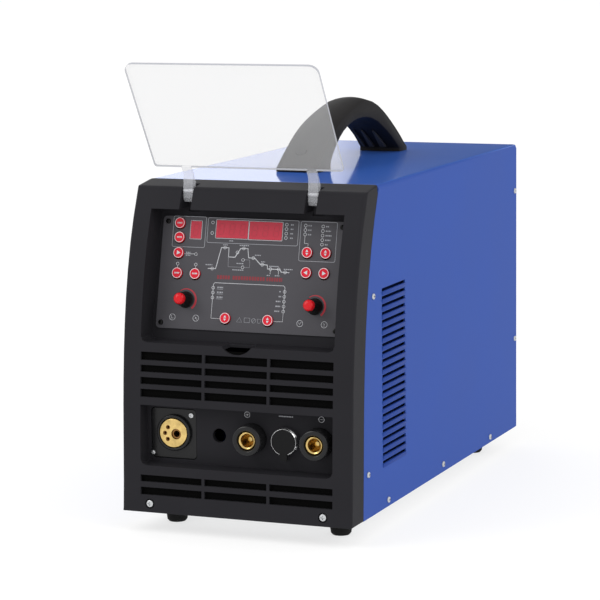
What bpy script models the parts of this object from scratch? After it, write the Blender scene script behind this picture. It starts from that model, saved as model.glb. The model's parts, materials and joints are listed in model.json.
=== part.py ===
"""Inverter welding machine with a built-in wire feeder and a flip-up clear lid over its controls.

The case is a sheet-metal box on four rubber feet behind a moulded front. The front leans back on a
curve, so every height on it is turned into a depth by front_y(). Built with the front's bottom edge
at y = 0, then carried by one empty so that the origin is on the floor under the middle of the box.
"""

import math

import bmesh
import bpy
from mathutils import Matrix, Vector

# ---------------------------------------------------------------- driving dimensions, metres
CASE_WIDTH = 0.243
CASE_BOTTOM = 0.0204
CASE_TOP = 0.3430
CASE_DEPTH = 0.527
SHEET = 0.0015
GAP = 0.0003
FOLD_RADIUS = 0.008

MOULD_DEPTH = 0.0324
MOULD_WALL = 0.003
FRONT_TOP = 0.3386
LEAN_SPAN = 0.300
LEAN = (0.0157, -0.0306, 0.0556)

RECESS_HALF = 0.102
RECESS_LOW = 0.189
RECESS_HIGH = 0.3175
PANEL_TILT = math.radians(13.1)
PANEL_ORIGIN = Vector((0.0, 0.0473, 0.2519))
PANEL_HALF = 0.098
PANEL_LOW = -0.0535
PANEL_HIGH = 0.058
PANEL_THICK = 0.0012

SOCKET_Z = 0.0984
SOCKET_FLOOR = 0.020
PORT_HALF = 0.1015
PORT_LOW = 0.066
PORT_HIGH = 0.128
EURO_X = -0.0723
PLUS_X = 0.0116
MINUS_X = 0.0817
REMOTE_X = 0.0479
GAS_HOLE_X = -0.0240

LID_PIVOT = Vector((0.0, 0.0515, 0.3348))
LID_EDGE = Vector((0.0, 0.0459, 0.3594))
LID_LEAN = math.radians(32.6)
LID_HALF = 0.0997
LID_HEIGHT = 0.124
LID_THICK = 0.003
ARM_X = 0.066
ARM_WIDTH = 0.010
HINGE_ROD_RADIUS = 0.0015

FEEDER_Y = 0.170
ROLL_RADIUS = 0.015
SPOOL_AT = Vector((-0.062, 0.385, 0.150))
SPOOL_RADIUS = 0.100
FAN_AT = Vector((0.057, 0.505, 0.215))
REAR_REACH = 0.0245

LID_FRONT = LID_EDGE.y - LID_HEIGHT * math.sin(LID_LEAN) - LID_THICK / 2 * math.cos(LID_LEAN)
Y_CENTRE = (CASE_DEPTH + REAR_REACH + LID_FRONT) / 2

HALF = CASE_WIDTH / 2
ROUND = 24
SHARP_ANGLE = math.radians(30)

# keys, displays and knobs: (across, up the slope) on the control plate
BUTTONS = {
    "load_button": (-0.0794, 0.0505),
    "save_button": (-0.0788, 0.0363),
    "wire_jog_button": (-0.0787, 0.0209),
    "gas_test_button": (-0.0786, 0.0008),
    "trigger_mode_button": (-0.0593, 0.0008),
    "wire_size_button": (0.0578, 0.0262),
    "wire_type_button": (0.0771, 0.0262),
    "back_button": (0.0582, 0.0065),
    "next_button": (0.0768, 0.0065),
    "process_button": (-0.0235, -0.0416),
    "cooling_button": (0.0217, -0.0417),
}
BUTTON_RADIUS = 0.0054
DISPLAYS = {
    "program_display": (-0.0676, 0.0363, -0.0563, 0.0535),
    "current_display": (-0.0402, 0.0380, -0.0064, 0.0553),
    "voltage_display": (-0.0048, 0.0377, 0.0297, 0.0551),
}
KNOBS = {"left_knob": (-0.0670, -0.0247), "right_knob": (0.0699, -0.0253)}

# louvre rows in the front: (height of the middle, height of the slot)
FRONT_SLOTS = (
    (0.1757, 0.0082), (0.1634, 0.0070), (0.1514, 0.0070),
    (0.1392, 0.0080), (0.0544, 0.0068), (0.0418, 0.0076),
)
SLOT_PITCH = 0.0687
SLOT_LENGTH = 0.0658
SIDE_SLOTS = 23
SIDE_SLOT_LOW = 0.0675
SIDE_SLOT_PITCH = 0.0078
SIDE_SLOT_HALF = 0.0016
SIDE_SLOT_FRONT = 0.0880
SIDE_SLOT_BACK = 0.1545

# carry handle, as points (depth, height) of its outer and inner curves
HANDLE_WIDTH = 0.047
HANDLE_NARROWING = 0.17
HANDLE_RISE = 0.062
HANDLE_OUTER = (
    (0.1710, 0.3473), (0.1870, 0.3593), (0.2030, 0.3697), (0.2200, 0.3797), (0.2410, 0.3885),
    (0.2640, 0.3952), (0.2920, 0.4015), (0.3220, 0.4058), (0.3500, 0.4000), (0.3720, 0.3905),
    (0.3930, 0.3782), (0.4150, 0.3635), (0.4300, 0.3518), (0.4370, 0.3473),
)
HANDLE_INNER = (
    (0.4120, 0.3473), (0.4060, 0.3515), (0.3900, 0.3620), (0.3710, 0.3718), (0.3500, 0.3812),
    (0.3280, 0.3866), (0.3080, 0.3884), (0.2860, 0.3876), (0.2640, 0.3832), (0.2440, 0.3762),
    (0.2260, 0.3658), (0.2120, 0.3552), (0.2065, 0.3473),
)

# turning points, and the middles of the rear fittings and of the wire feeder
CAP_PIVOT = Vector((REMOTE_X, 0.0108, SOCKET_Z - 0.0163))
SWITCH_PIVOT = Vector((-0.0600, 0.5262, 0.2850))
DOOR_FRONT, DOOR_BACK, DOOR_LOW, DOOR_HIGH = 0.100, 0.500, 0.036, 0.314
DOOR_HINGE = Vector((-HALF, DOOR_BACK - 0.0006, (DOOR_LOW + DOOR_HIGH) / 2))
LATCH_AT = Vector((-HALF, DOOR_FRONT + 0.022, 0.190))
GLAND_X, GLAND_Z = 0.070, 0.085
GAS_X, GAS_Z = -0.060, 0.120
PLATE_FACE = -0.0520
DRIVE_AXIS = Vector((EURO_X, FEEDER_Y, SOCKET_Z - ROLL_RADIUS - 0.0003))
PRESS_AXIS = Vector((EURO_X, FEEDER_Y, SOCKET_Z + ROLL_RADIUS + 0.0003))
ARM_PIVOT = Vector((-0.0600, FEEDER_Y + 0.040, SOCKET_Z + 0.020))
TENSION_AT = Vector((-0.0610, FEEDER_Y - 0.036, SOCKET_Z + 0.030))

# ---------------------------------------------------------------- finishes: colour, roughness, metallic
FINISHES = {
    "moulding_black": ((0.032, 0.032, 0.035), 0.55, 0.0),
    "cover_blue": ((0.045, 0.100, 0.420), 0.35, 0.0),
    "panel_grey": ((0.070, 0.072, 0.080), 0.45, 0.0),
    "lid_clear": ((0.90, 0.93, 0.95), 0.08, 0.0),
    "handle_black": ((0.030, 0.029, 0.030), 0.60, 0.0),
    "button_red": ((0.62, 0.020, 0.035), 0.35, 0.0),
    "display_red": ((0.48, 0.030, 0.055), 0.20, 0.0),
    "knob_black": ((0.018, 0.018, 0.018), 0.40, 0.0),
    "socket_black": ((0.020, 0.020, 0.021), 0.35, 0.0),
    "brass": ((0.78, 0.56, 0.20), 0.25, 1.0),
    "chrome": ((0.85, 0.85, 0.86), 0.12, 1.0),
    "rubber": ((0.015, 0.015, 0.015), 0.80, 0.0),
    "zinc_steel": ((0.55, 0.56, 0.58), 0.40, 1.0),
    "board_green": ((0.020, 0.160, 0.070), 0.50, 0.0),
    "aluminium": ((0.72, 0.73, 0.75), 0.35, 1.0),
    "winding_copper": ((0.70, 0.30, 0.14), 0.35, 1.0),
    "core_grey": ((0.10, 0.10, 0.11), 0.60, 0.0),
    "spool_plastic": ((0.060, 0.062, 0.066), 0.50, 0.0),
}


def clear_scene():
    for obj in list(bpy.data.objects):
        bpy.data.objects.remove(obj, do_unlink=True)


def make_finishes():
    finishes = {}
    for name, (colour, roughness, metallic) in FINISHES.items():
        material = bpy.data.materials.new(name)
        material.use_nodes = True
        shader = material.node_tree.nodes["Principled BSDF"]
        shader.inputs["Base Color"].default_value = (*colour, 1.0)
        shader.inputs["Roughness"].default_value = roughness
        shader.inputs["Metallic"].default_value = metallic
        finishes[name] = material
    return finishes


clear_scene()
FINISH = make_finishes()
PARTS = bpy.data.collections.new("welder")
CUTTERS = bpy.data.collections.new("cutters")
bpy.context.scene.collection.children.link(PARTS)
bpy.context.scene.collection.children.link(CUTTERS)
STAND = bpy.data.objects.new("welder_stand", None)
STAND.location = (0.0, -Y_CENTRE, 0.0)
PARTS.objects.link(STAND)

# ---------------------------------------------------------------- shared geometry
ALONG_X = Matrix(((0, 0, 1, 0), (1, 0, 0, 0), (0, 1, 0, 0), (0, 0, 0, 1)))
ALONG_Y = Matrix(((1, 0, 0, 0), (0, 0, -1, 0), (0, 1, 0, 0), (0, 0, 0, 1)))


def front_y(z):
    """Depth of the leaning front at height z."""
    t = (z - CASE_BOTTOM) / LEAN_SPAN
    return LEAN[0] * t + LEAN[1] * t * t + LEAN[2] * t ** 3


def steps(low, high, count):
    return [low + (high - low) * i / count for i in range(count + 1)]


def arc(cx, cy, radius, start, end, count):
    return [
        (cx + radius * math.cos(math.radians(a)), cy + radius * math.sin(math.radians(a)))
        for a in steps(start, end, count)
    ]


def circle(cx, cy, radius, count=ROUND):
    return arc(cx, cy, radius, 0.0, 360.0 * (count - 1) / count, count - 1)


def rounded(x0, y0, x1, y1, radius, count=3):
    """Corner-rounded rectangle; radius is one value or (low corners, high corners)."""
    low, high = radius if isinstance(radius, tuple) else (radius, radius)
    return (
        arc(x1 - low, y0 + low, low, -90, 0, count)
        + arc(x1 - high, y1 - high, high, 0, 90, count)
        + arc(x0 + high, y1 - high, high, 90, 180, count)
        + arc(x0 + low, y0 + low, low, 180, 270, count)
    )


def evaluated_mesh(obj):
    """Mesh of a temporary object with its modifiers, welded; the object is removed."""
    bpy.context.view_layer.update()
    graph = bpy.context.evaluated_depsgraph_get()
    mesh = bpy.data.meshes.new_from_object(obj.evaluated_get(graph))
    bm = bmesh.new()
    bm.from_mesh(mesh)
    bmesh.ops.remove_doubles(bm, verts=bm.verts, dist=0.000001)
    bm.to_mesh(mesh)
    bm.free()
    bpy.data.objects.remove(obj, do_unlink=True)
    return mesh


def slab(outlines, low, high, matrix):
    """Flat outline, with any holes in it, filled and drawn out from low to high along its normal."""
    curve = bpy.data.curves.new("outline", "CURVE")
    curve.dimensions = "2D"
    curve.fill_mode = "BOTH"
    curve.extrude = (high - low) / 2
    for outline in outlines:
        spline = curve.splines.new("POLY")
        spline.points.add(len(outline) - 1)
        for point, (a, b) in zip(spline.points, outline):
            point.co = (a, b, 0.0, 1.0)
        spline.use_cyclic_u = True
    obj = bpy.data.objects.new("outline", curve)
    bpy.context.scene.collection.objects.link(obj)
    mesh = evaluated_mesh(obj)
    mesh.transform(matrix @ Matrix.Translation((0.0, 0.0, (low + high) / 2)))
    return mesh


def box(low, high):
    low, high = Vector(low), Vector(high)
    bm = bmesh.new()
    bmesh.ops.create_cube(bm, size=1.0)
    size = high - low
    bmesh.ops.scale(bm, verts=bm.verts, vec=size)
    bmesh.ops.translate(bm, verts=bm.verts, vec=(low + high) / 2)
    mesh = bpy.data.meshes.new("box")
    bm.to_mesh(mesh)
    bm.free()
    return mesh


def rod(start, end, radius, count=ROUND, end_radius=None):
    """Cylinder, or cone when end_radius is given, from start to end."""
    start, end = Vector(start), Vector(end)
    turn = (end - start).to_track_quat("Z", "Y").to_matrix().to_4x4()
    bm = bmesh.new()
    bmesh.ops.create_cone(
        bm,
        cap_ends=True,
        segments=count,
        radius1=radius,
        radius2=radius if end_radius is None else end_radius,
        depth=(end - start).length,
        matrix=Matrix.Translation((start + end) / 2) @ turn,
    )
    mesh = bpy.data.meshes.new("rod")
    bm.to_mesh(mesh)
    bm.free()
    return mesh


def turned(profile, matrix, count=ROUND, closed=False):
    """Profile of (radius, height) points, outer side downwards, turned about Z, then placed."""
    mesh = bpy.data.meshes.new("profile")
    edges = [(i, i + 1) for i in range(len(profile) - 1)]
    if closed:
        edges.append((len(profile) - 1, 0))
    mesh.from_pydata([(r, 0.0, h) for r, h in profile], edges, [])
    obj = bpy.data.objects.new("profile", mesh)
    bpy.context.scene.collection.objects.link(obj)
    screw = obj.modifiers.new("turn", "SCREW")
    screw.steps = count
    screw.render_steps = count
    screw.use_merge_vertices = True
    screw.merge_threshold = 0.000001
    result = evaluated_mesh(obj)
    result.transform(matrix)
    return result


def facing_front(x, y, z):
    """Matrix that turns a piece's +Z towards the front (-Y) and moves it to x, y, z."""
    return Matrix.Translation((x, y, z)) @ Matrix.Rotation(math.radians(90), 4, "X")


def facing_rear(x, y, z):
    return Matrix.Translation((x, y, z)) @ Matrix.Rotation(math.radians(-90), 4, "X")


def panel_matrix():
    """Frame of the control plate's face: X across, Y up the slope, Z out of the face."""
    s, c = math.sin(PANEL_TILT), math.cos(PANEL_TILT)
    o = PANEL_ORIGIN
    return Matrix(((1, 0, 0, o.x), (0, s, -c, o.y), (0, c, s, o.z), (0, 0, 0, 1)))


def piece(name, mesh, finish, origin=(0.0, 0.0, 0.0), smooth=True):
    """Named part with its origin at the given point; the mesh arrives in case coordinates."""
    mesh.name = name
    mesh.transform(Matrix.Translation(-Vector(origin)))
    mesh.materials.clear()
    mesh.materials.append(FINISH[finish])
    if smooth:
        mesh.shade_smooth()
        mesh.set_sharp_from_angle(angle=math.radians(35))
    obj = bpy.data.objects.new(name, mesh)
    obj.location = origin
    obj.parent = STAND
    PARTS.objects.link(obj)
    return obj


def cutter(name, mesh):
    obj = bpy.data.objects.new(name, mesh)
    obj.parent = STAND
    obj.hide_render = True
    obj.display_type = "WIRE"
    CUTTERS.objects.link(obj)
    return obj


def combine(target, tool, operation="DIFFERENCE"):
    modifier = target.modifiers.new(tool.name, "BOOLEAN")
    modifier.operation = operation
    modifier.object = tool
    modifier.solver = "EXACT"
    return target


def cut(target, name, mesh):
    return combine(target, cutter(name, mesh), "DIFFERENCE")


def join(target, name, mesh):
    return combine(target, cutter(name, mesh), "UNION")


def joined(name, meshes):
    """Several closed bodies that don't touch, as one cutter."""
    bm = bmesh.new()
    for mesh in meshes:
        bm.from_mesh(mesh)
        bpy.data.meshes.remove(mesh)
    result = bpy.data.meshes.new(name)
    bm.to_mesh(result)
    bm.free()
    return result


def round_edges(obj, width, segments, chosen):
    """Bevel on the sharp edges, each weighted by chosen(end, other end) in case coordinates."""
    shift = Vector(obj.location)
    bm = bmesh.new()
    bm.from_mesh(obj.data)
    layer = bm.edges.layers.float.new("bevel_weight_edge")
    for edge in bm.edges:
        sharp = edge.calc_face_angle(0.0) > SHARP_ANGLE
        edge[layer] = chosen(*(v.co + shift for v in edge.verts)) if sharp else 0.0
    bm.to_mesh(obj.data)
    bm.free()
    bevel = obj.modifiers.new("rounding", "BEVEL")
    bevel.limit_method = "WEIGHT"
    bevel.width = width
    bevel.segments = segments
    return obj


# ---------------------------------------------------------------- front moulding
def mould_outline(inset):
    """Side view of the front moulding, or of its hollow when inset by the wall."""
    heights = steps(CASE_BOTTOM + inset, FRONT_TOP - inset, 12)
    outline = [(front_y(z) + inset, z) for z in heights]
    if inset:
        return outline + [(0.12, CASE_TOP - inset), (0.12, CASE_BOTTOM + inset)]
    back = [(front_y(z) + MOULD_DEPTH, z) for z in reversed(heights)]
    return outline + [(back[0][0], CASE_TOP)] + back


def on_side(point, half):
    return abs(abs(point.x) - half) < 0.00001


def mould_rounding(inset):
    """Weights: 1 on the upright and top corners of the front, small on its bottom edges."""
    half = HALF - inset

    def weight(a, b):
        on_front = [p.y < front_y(p.z) + inset + 0.0001 for p in (a, b)]
        both_side = on_side(a, half) and on_side(b, half) and a.x * b.x > 0
        high = min(a.z, b.z) > FRONT_TOP - inset - 0.0001
        if both_side and all(on_front):
            return 1.0
        if high and both_side:
            return 1.0
        if high and all(on_front) and abs(a.z - b.z) < 0.00001:
            return 1.0
        if max(a.z, b.z) < CASE_BOTTOM + 0.0001 and any(on_front):
            return 0.2
        return 0.0

    return weight


def louvre_boxes():
    """Air slots: four rows above the sockets and two below, three slots to a row."""
    boxes = []
    for z, height in FRONT_SLOTS:
        for column in (-1, 0, 1):
            x = column * SLOT_PITCH
            low = (x - SLOT_LENGTH / 2, -0.01, z - height / 2)
            boxes.append(box(low, (x + SLOT_LENGTH / 2, 0.016, z + height / 2)))
    return joined("louvres", boxes)


def recess_floor_y(z):
    """Depth of the control recess's floor, which the plate lies on."""
    back = (PANEL_THICK + GAP) / math.cos(PANEL_TILT)
    return PANEL_ORIGIN.y + back + (z - PANEL_ORIGIN.z) * math.tan(PANEL_TILT)


def recess_mesh(grow):
    """Space of the control recess, or the block of plastic around it when grown."""
    low, high = RECESS_LOW - grow, RECESS_HIGH + grow
    outline = [
        (-0.02, low),
        (recess_floor_y(low) + grow, low),
        (recess_floor_y(high) + grow, high),
        (-0.02, high),
    ]
    half = RECESS_HALF + grow
    return slab([outline], -half, half, ALONG_X)


def corner_weight(half, low):
    def weight(a, b):
        side = on_side(a, half) and on_side(b, half) and a.x * b.x > 0
        return 1.0 if side and max(a.z, b.z) < low + 0.001 and abs(a.y - b.y) > 0.01 else 0.0

    return weight


def front_moulding():
    body = piece("front_moulding", slab([mould_outline(0.0)], -HALF, HALF, ALONG_X), "moulding_black")
    round_edges(body, FOLD_RADIUS, 3, mould_rounding(0.0))

    inner = HALF - MOULD_WALL
    hollow = cutter("mould_hollow", slab([mould_outline(MOULD_WALL)], -inner, inner, ALONG_X))
    round_edges(hollow, FOLD_RADIUS - MOULD_WALL, 2, mould_rounding(MOULD_WALL))
    combine(hollow, cutter("recess_block", recess_mesh(MOULD_WALL)))
    port_block = box(
        (-PORT_HALF - MOULD_WALL, -0.02, PORT_LOW - MOULD_WALL),
        (PORT_HALF + MOULD_WALL, SOCKET_FLOOR + 0.0055, PORT_HIGH + MOULD_WALL),
    )
    combine(hollow, cutter("port_block", port_block))
    for name, side in (("left", -1), ("right", 1)):
        x = side * ARM_X
        wall = ARM_WIDTH / 2 + 0.0012 + MOULD_WALL
        block = box((x - wall, -0.02, 0.316), (x + wall, 0.068, 0.36))
        combine(hollow, cutter(f"hinge_block_{name}", block))
    combine(body, hollow)

    recess = cutter("control_recess", recess_mesh(0.0))
    round_edges(recess, 0.006, 2, corner_weight(RECESS_HALF, RECESS_LOW))
    combine(body, recess)
    window = rounded(-0.090, PANEL_LOW + 0.006, 0.090, PANEL_HIGH - 0.001, 0.003)
    cut(body, "panel_window", slab([window], -0.012, -0.001, panel_matrix()))
    scoop_radius, scoop_rise = 0.0198, 0.0120
    scoop_z = RECESS_LOW + scoop_rise
    cut(body, "finger_scoop", rod((0, -0.02, scoop_z), (0, 0.0245, scoop_z), scoop_radius, 40))

    port = [(-0.02, PORT_LOW), (SOCKET_FLOOR, PORT_LOW + 0.0025), (SOCKET_FLOOR, PORT_HIGH - 0.001),
            (-0.02, PORT_HIGH)]
    ports = cutter("port_recess", slab([port], -PORT_HALF, PORT_HALF, ALONG_X))
    round_edges(ports, 0.006, 2, corner_weight(PORT_HALF, PORT_LOW + 0.002))
    combine(body, ports)
    pocket = rounded(-0.0976, 0.0720, -0.0486, 0.1228, 0.004)
    cut(body, "euro_pocket", slab([pocket], -0.0225, -0.01, ALONG_Y))

    bores = [
        rod((EURO_X, 0.01, SOCKET_Z), (EURO_X, 0.04, SOCKET_Z), 0.0156, ROUND),
        rod((GAS_HOLE_X, 0.01, SOCKET_Z), (GAS_HOLE_X, 0.04, SOCKET_Z), 0.0070, ROUND),
    ]
    for x in (PLUS_X, MINUS_X, REMOTE_X):
        bores.append(rod((x, 0.01, SOCKET_Z), (x, 0.04, SOCKET_Z), 0.0095, ROUND))
    cut(body, "socket_bores", joined("socket_bores", bores))
    cut(body, "louvres", louvre_boxes())

    slots = []
    for side in (-1, 1):
        x = side * ARM_X
        half = ARM_WIDTH / 2 + 0.0012
        slots.append(box((x - half, -0.02, 0.3130), (x + half, 0.0650, 0.36)))
    cut(body, "hinge_slots", joined("hinge_slots", slots))
    rod_hole = rod((-0.082, LID_PIVOT.y, LID_PIVOT.z), (0.082, LID_PIVOT.y, LID_PIVOT.z),
                   HINGE_ROD_RADIUS + GAP, 16)
    cut(body, "hinge_rod_hole", rod_hole)
    screws = [rod((x, -0.01, 0.0292), (x, front_y(0.0292) + 0.0018, 0.0292), 0.0050,
                  20) for x in (-0.0917, 0.0917)]
    cut(body, "screw_counterbores", joined("screw_counterbores", screws))
    return body


# ---------------------------------------------------------------- sheet-metal case
def cover_outline(inset, reach):
    """Side view of the folded cover; the front edge follows the moulding."""
    heights = steps(CASE_BOTTOM, FRONT_TOP, 12)
    front = [(front_y(z) + MOULD_DEPTH + GAP, z) for z in heights]
    if inset:
        return [(-0.05, -0.02), (reach, -0.02), (reach, CASE_TOP - inset), (-0.05, CASE_TOP - inset)]
    return front + [(front[-1][0], CASE_TOP), (reach, CASE_TOP), (reach, CASE_BOTTOM)]


def fold_weight(half, top):
    def weight(a, b):
        side = on_side(a, half) and on_side(b, half) and a.x * b.x > 0
        return 1.0 if side and min(a.z, b.z) > top - 0.0001 else 0.0

    return weight


def wrap_cover():
    body = piece("wrap_cover", slab([cover_outline(0.0, CASE_DEPTH)], -HALF, HALF, ALONG_X), "cover_blue")
    round_edges(body, FOLD_RADIUS, 4, fold_weight(HALF, CASE_TOP))
    inner = HALF - SHEET
    hollow = cutter("cover_hollow", slab([cover_outline(SHEET, CASE_DEPTH + 0.05)], -inner, inner, ALONG_X))
    round_edges(hollow, FOLD_RADIUS - SHEET, 4, fold_weight(inner, CASE_TOP - SHEET))
    combine(body, hollow)
    cut(body, "door_opening", box((-0.14, DOOR_FRONT, DOOR_LOW), (-0.11, DOOR_BACK, DOOR_HIGH)))
    slots = []
    for i in range(SIDE_SLOTS):
        z = SIDE_SLOT_LOW + i * SIDE_SLOT_PITCH
        low = (HALF - 0.01, SIDE_SLOT_FRONT, z - SIDE_SLOT_HALF)
        slots.append(box(low, (HALF + 0.01, SIDE_SLOT_BACK, z + SIDE_SLOT_HALF)))
    cut(body, "side_louvres", joined("side_louvres", slots))
    return body


def base_pan():
    half = HALF - SHEET - GAP
    low, rim = CASE_BOTTOM + GAP, 0.014
    outline = [
        (-half, low),
        (half, low),
        (half, low + rim),
        (half - SHEET, low + rim),
        (half - SHEET, low + SHEET),
        (-half + SHEET, low + SHEET),
        (-half + SHEET, low + rim),
        (-half, low + rim),
    ]
    return piece("base_pan", slab([outline], -0.5215, -0.0335, ALONG_Y), "zinc_steel", smooth=False)


def rear_panel():
    half = HALF - SHEET - GAP
    grille = []
    for i in range(-5, 6):
        z = i * 0.0094
        reach = math.sqrt(0.053 ** 2 - z * z)
        x, y = FAN_AT.x, FAN_AT.z + z
        grille.append(rounded(x - reach, y - 0.0026, x + reach, y + 0.0026, 0.0020, 1))
    openings = [
        rounded(-0.0722, 0.2682, -0.0478, 0.3018, 0.002, 2),
        circle(GLAND_X, GLAND_Z, 0.0113),
        circle(GAS_X, GAS_Z, 0.0073),
    ]
    outline = rounded(-half, 0.0355, half, CASE_TOP - SHEET - GAP, (0.001, FOLD_RADIUS - SHEET), 3)
    return piece("rear_panel", slab([outline] + grille + openings, -0.5245, -0.5230, ALONG_Y),
                 "moulding_black")


def partition_plate():
    outline = [(0.098, 0.0226), (0.518, 0.0226), (0.518, 0.3405), (0.098, 0.3405)]
    return piece("partition_plate", slab([outline], -0.0060, -0.0045, ALONG_X), "zinc_steel", smooth=False)


# ---------------------------------------------------------------- carry handle
def handle_point(points, t):
    """Point on a smooth curve through the given points, t from 0 to 1."""
    spans = len(points) - 1
    k = min(int(t * spans), spans - 1)
    u = t * spans - k
    p = [Vector(points[max(0, min(spans, k + i))]) for i in (-1, 0, 1, 2)]
    a = 2 * p[1]
    b = p[2] - p[0]
    c = 2 * p[0] - 5 * p[1] + 4 * p[2] - p[3]
    d = -p[0] + 3 * p[1] - 3 * p[2] + p[3]
    return tuple((a + b * u + c * u * u + d * u ** 3) / 2)


def carry_handle():
    """Arched handle along the middle of the top: long feet, slightly narrower grip."""
    foot = CASE_TOP + GAP
    outer_front, outer_back = HANDLE_OUTER[0][0], HANDLE_OUTER[-1][0]
    inner_back, inner_front = HANDLE_INNER[0][0], HANDLE_INNER[-1][0]
    outline = [(outer_front, foot)] + [handle_point(HANDLE_OUTER, i / 22) for i in range(23)]
    outline += [(outer_back, foot), (inner_back, foot)]
    outline += [handle_point(HANDLE_INNER, i / 18) for i in range(19)] + [(inner_front, foot)]
    mesh = slab([outline], -HANDLE_WIDTH / 2, HANDLE_WIDTH / 2, ALONG_X)
    for vertex in mesh.vertices:
        vertex.co.x *= 1.0 - HANDLE_NARROWING * max(0.0, vertex.co.z - foot) / HANDLE_RISE
    handle = piece("carry_handle", mesh, "handle_black")

    def weight(a, b):
        same_side = a.x * b.x > 0 and abs(a.x) > 0.01
        return 1.0 if same_side and max(a.z, b.z) > foot + 0.0001 else 0.0

    return round_edges(handle, 0.0045, 2, weight)


# ---------------------------------------------------------------- control panel


def control_plate():
    holes = [circle(u, v, BUTTON_RADIUS + 2 * GAP, 12) for u, v in BUTTONS.values()]
    holes += [circle(u, v, 0.0038, 10) for u, v in KNOBS.values()]
    for u0, v0, u1, v1 in DISPLAYS.values():
        holes.append(rounded(u0 - GAP, v0 - GAP, u1 + GAP, v1 + GAP, 0.0005, 1))
    outline = rounded(-PANEL_HALF, PANEL_LOW, PANEL_HALF, PANEL_HIGH, 0.004, 3)
    return piece("control_plate", slab([outline] + holes, -PANEL_THICK, 0.0, panel_matrix()),
                 "panel_grey", smooth=False)


def displays():
    for name, (u0, v0, u1, v1) in DISPLAYS.items():
        piece(name, slab([rounded(u0, v0, u1, v1, 0.0005, 1)], -0.0060, 0.0002, panel_matrix()),
              "display_red")


def control_board():
    outline = [(-0.086, -0.046), (0.086, -0.046), (0.086, 0.055), (-0.086, 0.055)]
    piece("control_board", slab([outline], -0.0118, -0.0102, panel_matrix()), "board_green", smooth=False)


def buttons():
    """Round keys with a stem towards the board, each free to travel through the plate."""
    profile = [(0.0, 0.0019), (0.0046, 0.0019), (BUTTON_RADIUS, 0.0012), (BUTTON_RADIUS, -0.0010),
               (0.0022, -0.0010),
               (0.0022, -0.0088), (0.0, -0.0088)]
    for name, (u, v) in BUTTONS.items():
        place = panel_matrix() @ Matrix.Translation((u, v, 0.0))
        piece(name, turned(profile, place, 12), "button_red", origin=place.translation)


def knobs():
    """Turned control knobs: skirt, grip and a smaller cap, on a shaft through the plate."""
    profile = [(0.0, 0.0205), (0.0047, 0.0205), (0.0058, 0.0190), (0.0058, 0.0150),
               (0.0063, 0.0145), (0.0070, 0.0020),
               (0.0082, 0.0014), (0.0082, 0.0004), (0.0030, 0.0004), (0.0030, -0.0090), (0.0, -0.0090)]
    for name, (u, v) in KNOBS.items():
        place = panel_matrix() @ Matrix.Translation((u, v, 0.0))
        piece(name, turned(profile, place, 16), "knob_black", origin=place.translation)


# ---------------------------------------------------------------- sockets
def euro_socket():
    """Torch connector: square plate, round insulating collar and a brass body with its bores."""
    plate = [rounded(-0.0973, 0.0723, -0.0489, 0.1225, 0.0037), circle(EURO_X, SOCKET_Z, 0.0153)]
    piece("euro_plate", slab(plate, -0.0222, -0.0206, ALONG_Y), "socket_black")
    ring = [(0.0172, 0.0037), (0.0182, 0.0029), (0.0182, 0.0), (0.0153, 0.0), (0.0153, 0.0037)]
    piece("euro_collar", turned(ring, facing_front(EURO_X, 0.0203, SOCKET_Z), 32, closed=True),
          "socket_black")
    solid = [(0.0, 0.0440), (0.0141, 0.0440), (0.0149, 0.0432), (0.0149, 0.0), (0.0, 0.0)]
    body = piece("euro_body", turned(solid, facing_front(EURO_X, 0.0602, SOCKET_Z), 32), "brass")
    bore_x, bore_z = EURO_X + 0.0034, SOCKET_Z - 0.0008
    cut(body, "euro_bore", rod((bore_x, 0.0, bore_z), (bore_x, 0.08, bore_z), 0.0052, 20))
    pins = []
    for dx, dz in ((-0.0053, 0.0056), (-0.0086, -0.0003), (-0.0057, -0.0062)):
        pins.append(rod((EURO_X + dx, 0.0, SOCKET_Z + dz), (EURO_X + dx, 0.030, SOCKET_Z + dz), 0.0022, 12))
    cut(body, "euro_pins", joined("euro_pins", pins))


def power_sockets():
    """Quick-fit current sockets: an insulating collar around a brass bush with a blind bore."""
    collar = [(0.0138, 0.0170), (0.0151, 0.0157), (0.0151, 0.0), (0.0095, 0.0), (0.0095, 0.0150),
              (0.0105, 0.0170)]
    bush = [(0.0, 0.0110), (0.0065, 0.0110), (0.0065, 0.0398), (0.0080, 0.0410), (0.0091, 0.0400),
            (0.0091, 0.0), (0.0, 0.0)]
    for name, x in (("plus", PLUS_X), ("minus", MINUS_X)):
        place = facing_front(x, SOCKET_FLOOR - GAP, SOCKET_Z)
        piece(f"{name}_socket_collar", turned(collar, place, 32, closed=True), "socket_black")
        piece(f"{name}_socket_bush", turned(bush, facing_front(x, 0.0450, SOCKET_Z), ROUND), "brass")


def remote_socket():
    """Remote-control socket: chrome shell with a lug, closed by a sprung flip cap."""
    shell = [(0.0, 0.0010), (0.0108, 0.0010), (0.0108, 0.0080), (0.0128, 0.0080), (0.0138, 0.0072),
             (0.0138, 0.0), (0.0090, 0.0), (0.0090, -0.0120), (0.0, -0.0120)]
    place = facing_front(REMOTE_X, SOCKET_FLOOR - GAP, SOCKET_Z)
    body = piece("remote_shell", turned(shell, place, 32), "chrome")
    lug = box((REMOTE_X - 0.0024, 0.0135, SOCKET_Z - 0.0185),
              (REMOTE_X + 0.0024, SOCKET_FLOOR - GAP, SOCKET_Z - 0.0125))
    join(body, "remote_lug", lug)
    disc = slab([circle(REMOTE_X, SOCKET_Z, 0.0124, 32)], -0.0114, -0.0092, ALONG_Y)
    cap = piece("remote_cap", disc, "socket_black", origin=CAP_PIVOT)
    tab = rounded(REMOTE_X - 0.0036, SOCKET_Z - 0.0185, REMOTE_X + 0.0036, SOCKET_Z - 0.0100, 0.0012, 2)
    join(cap, "cap_tab", slab([tab], -0.0117, -0.0095, ALONG_Y))


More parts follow.
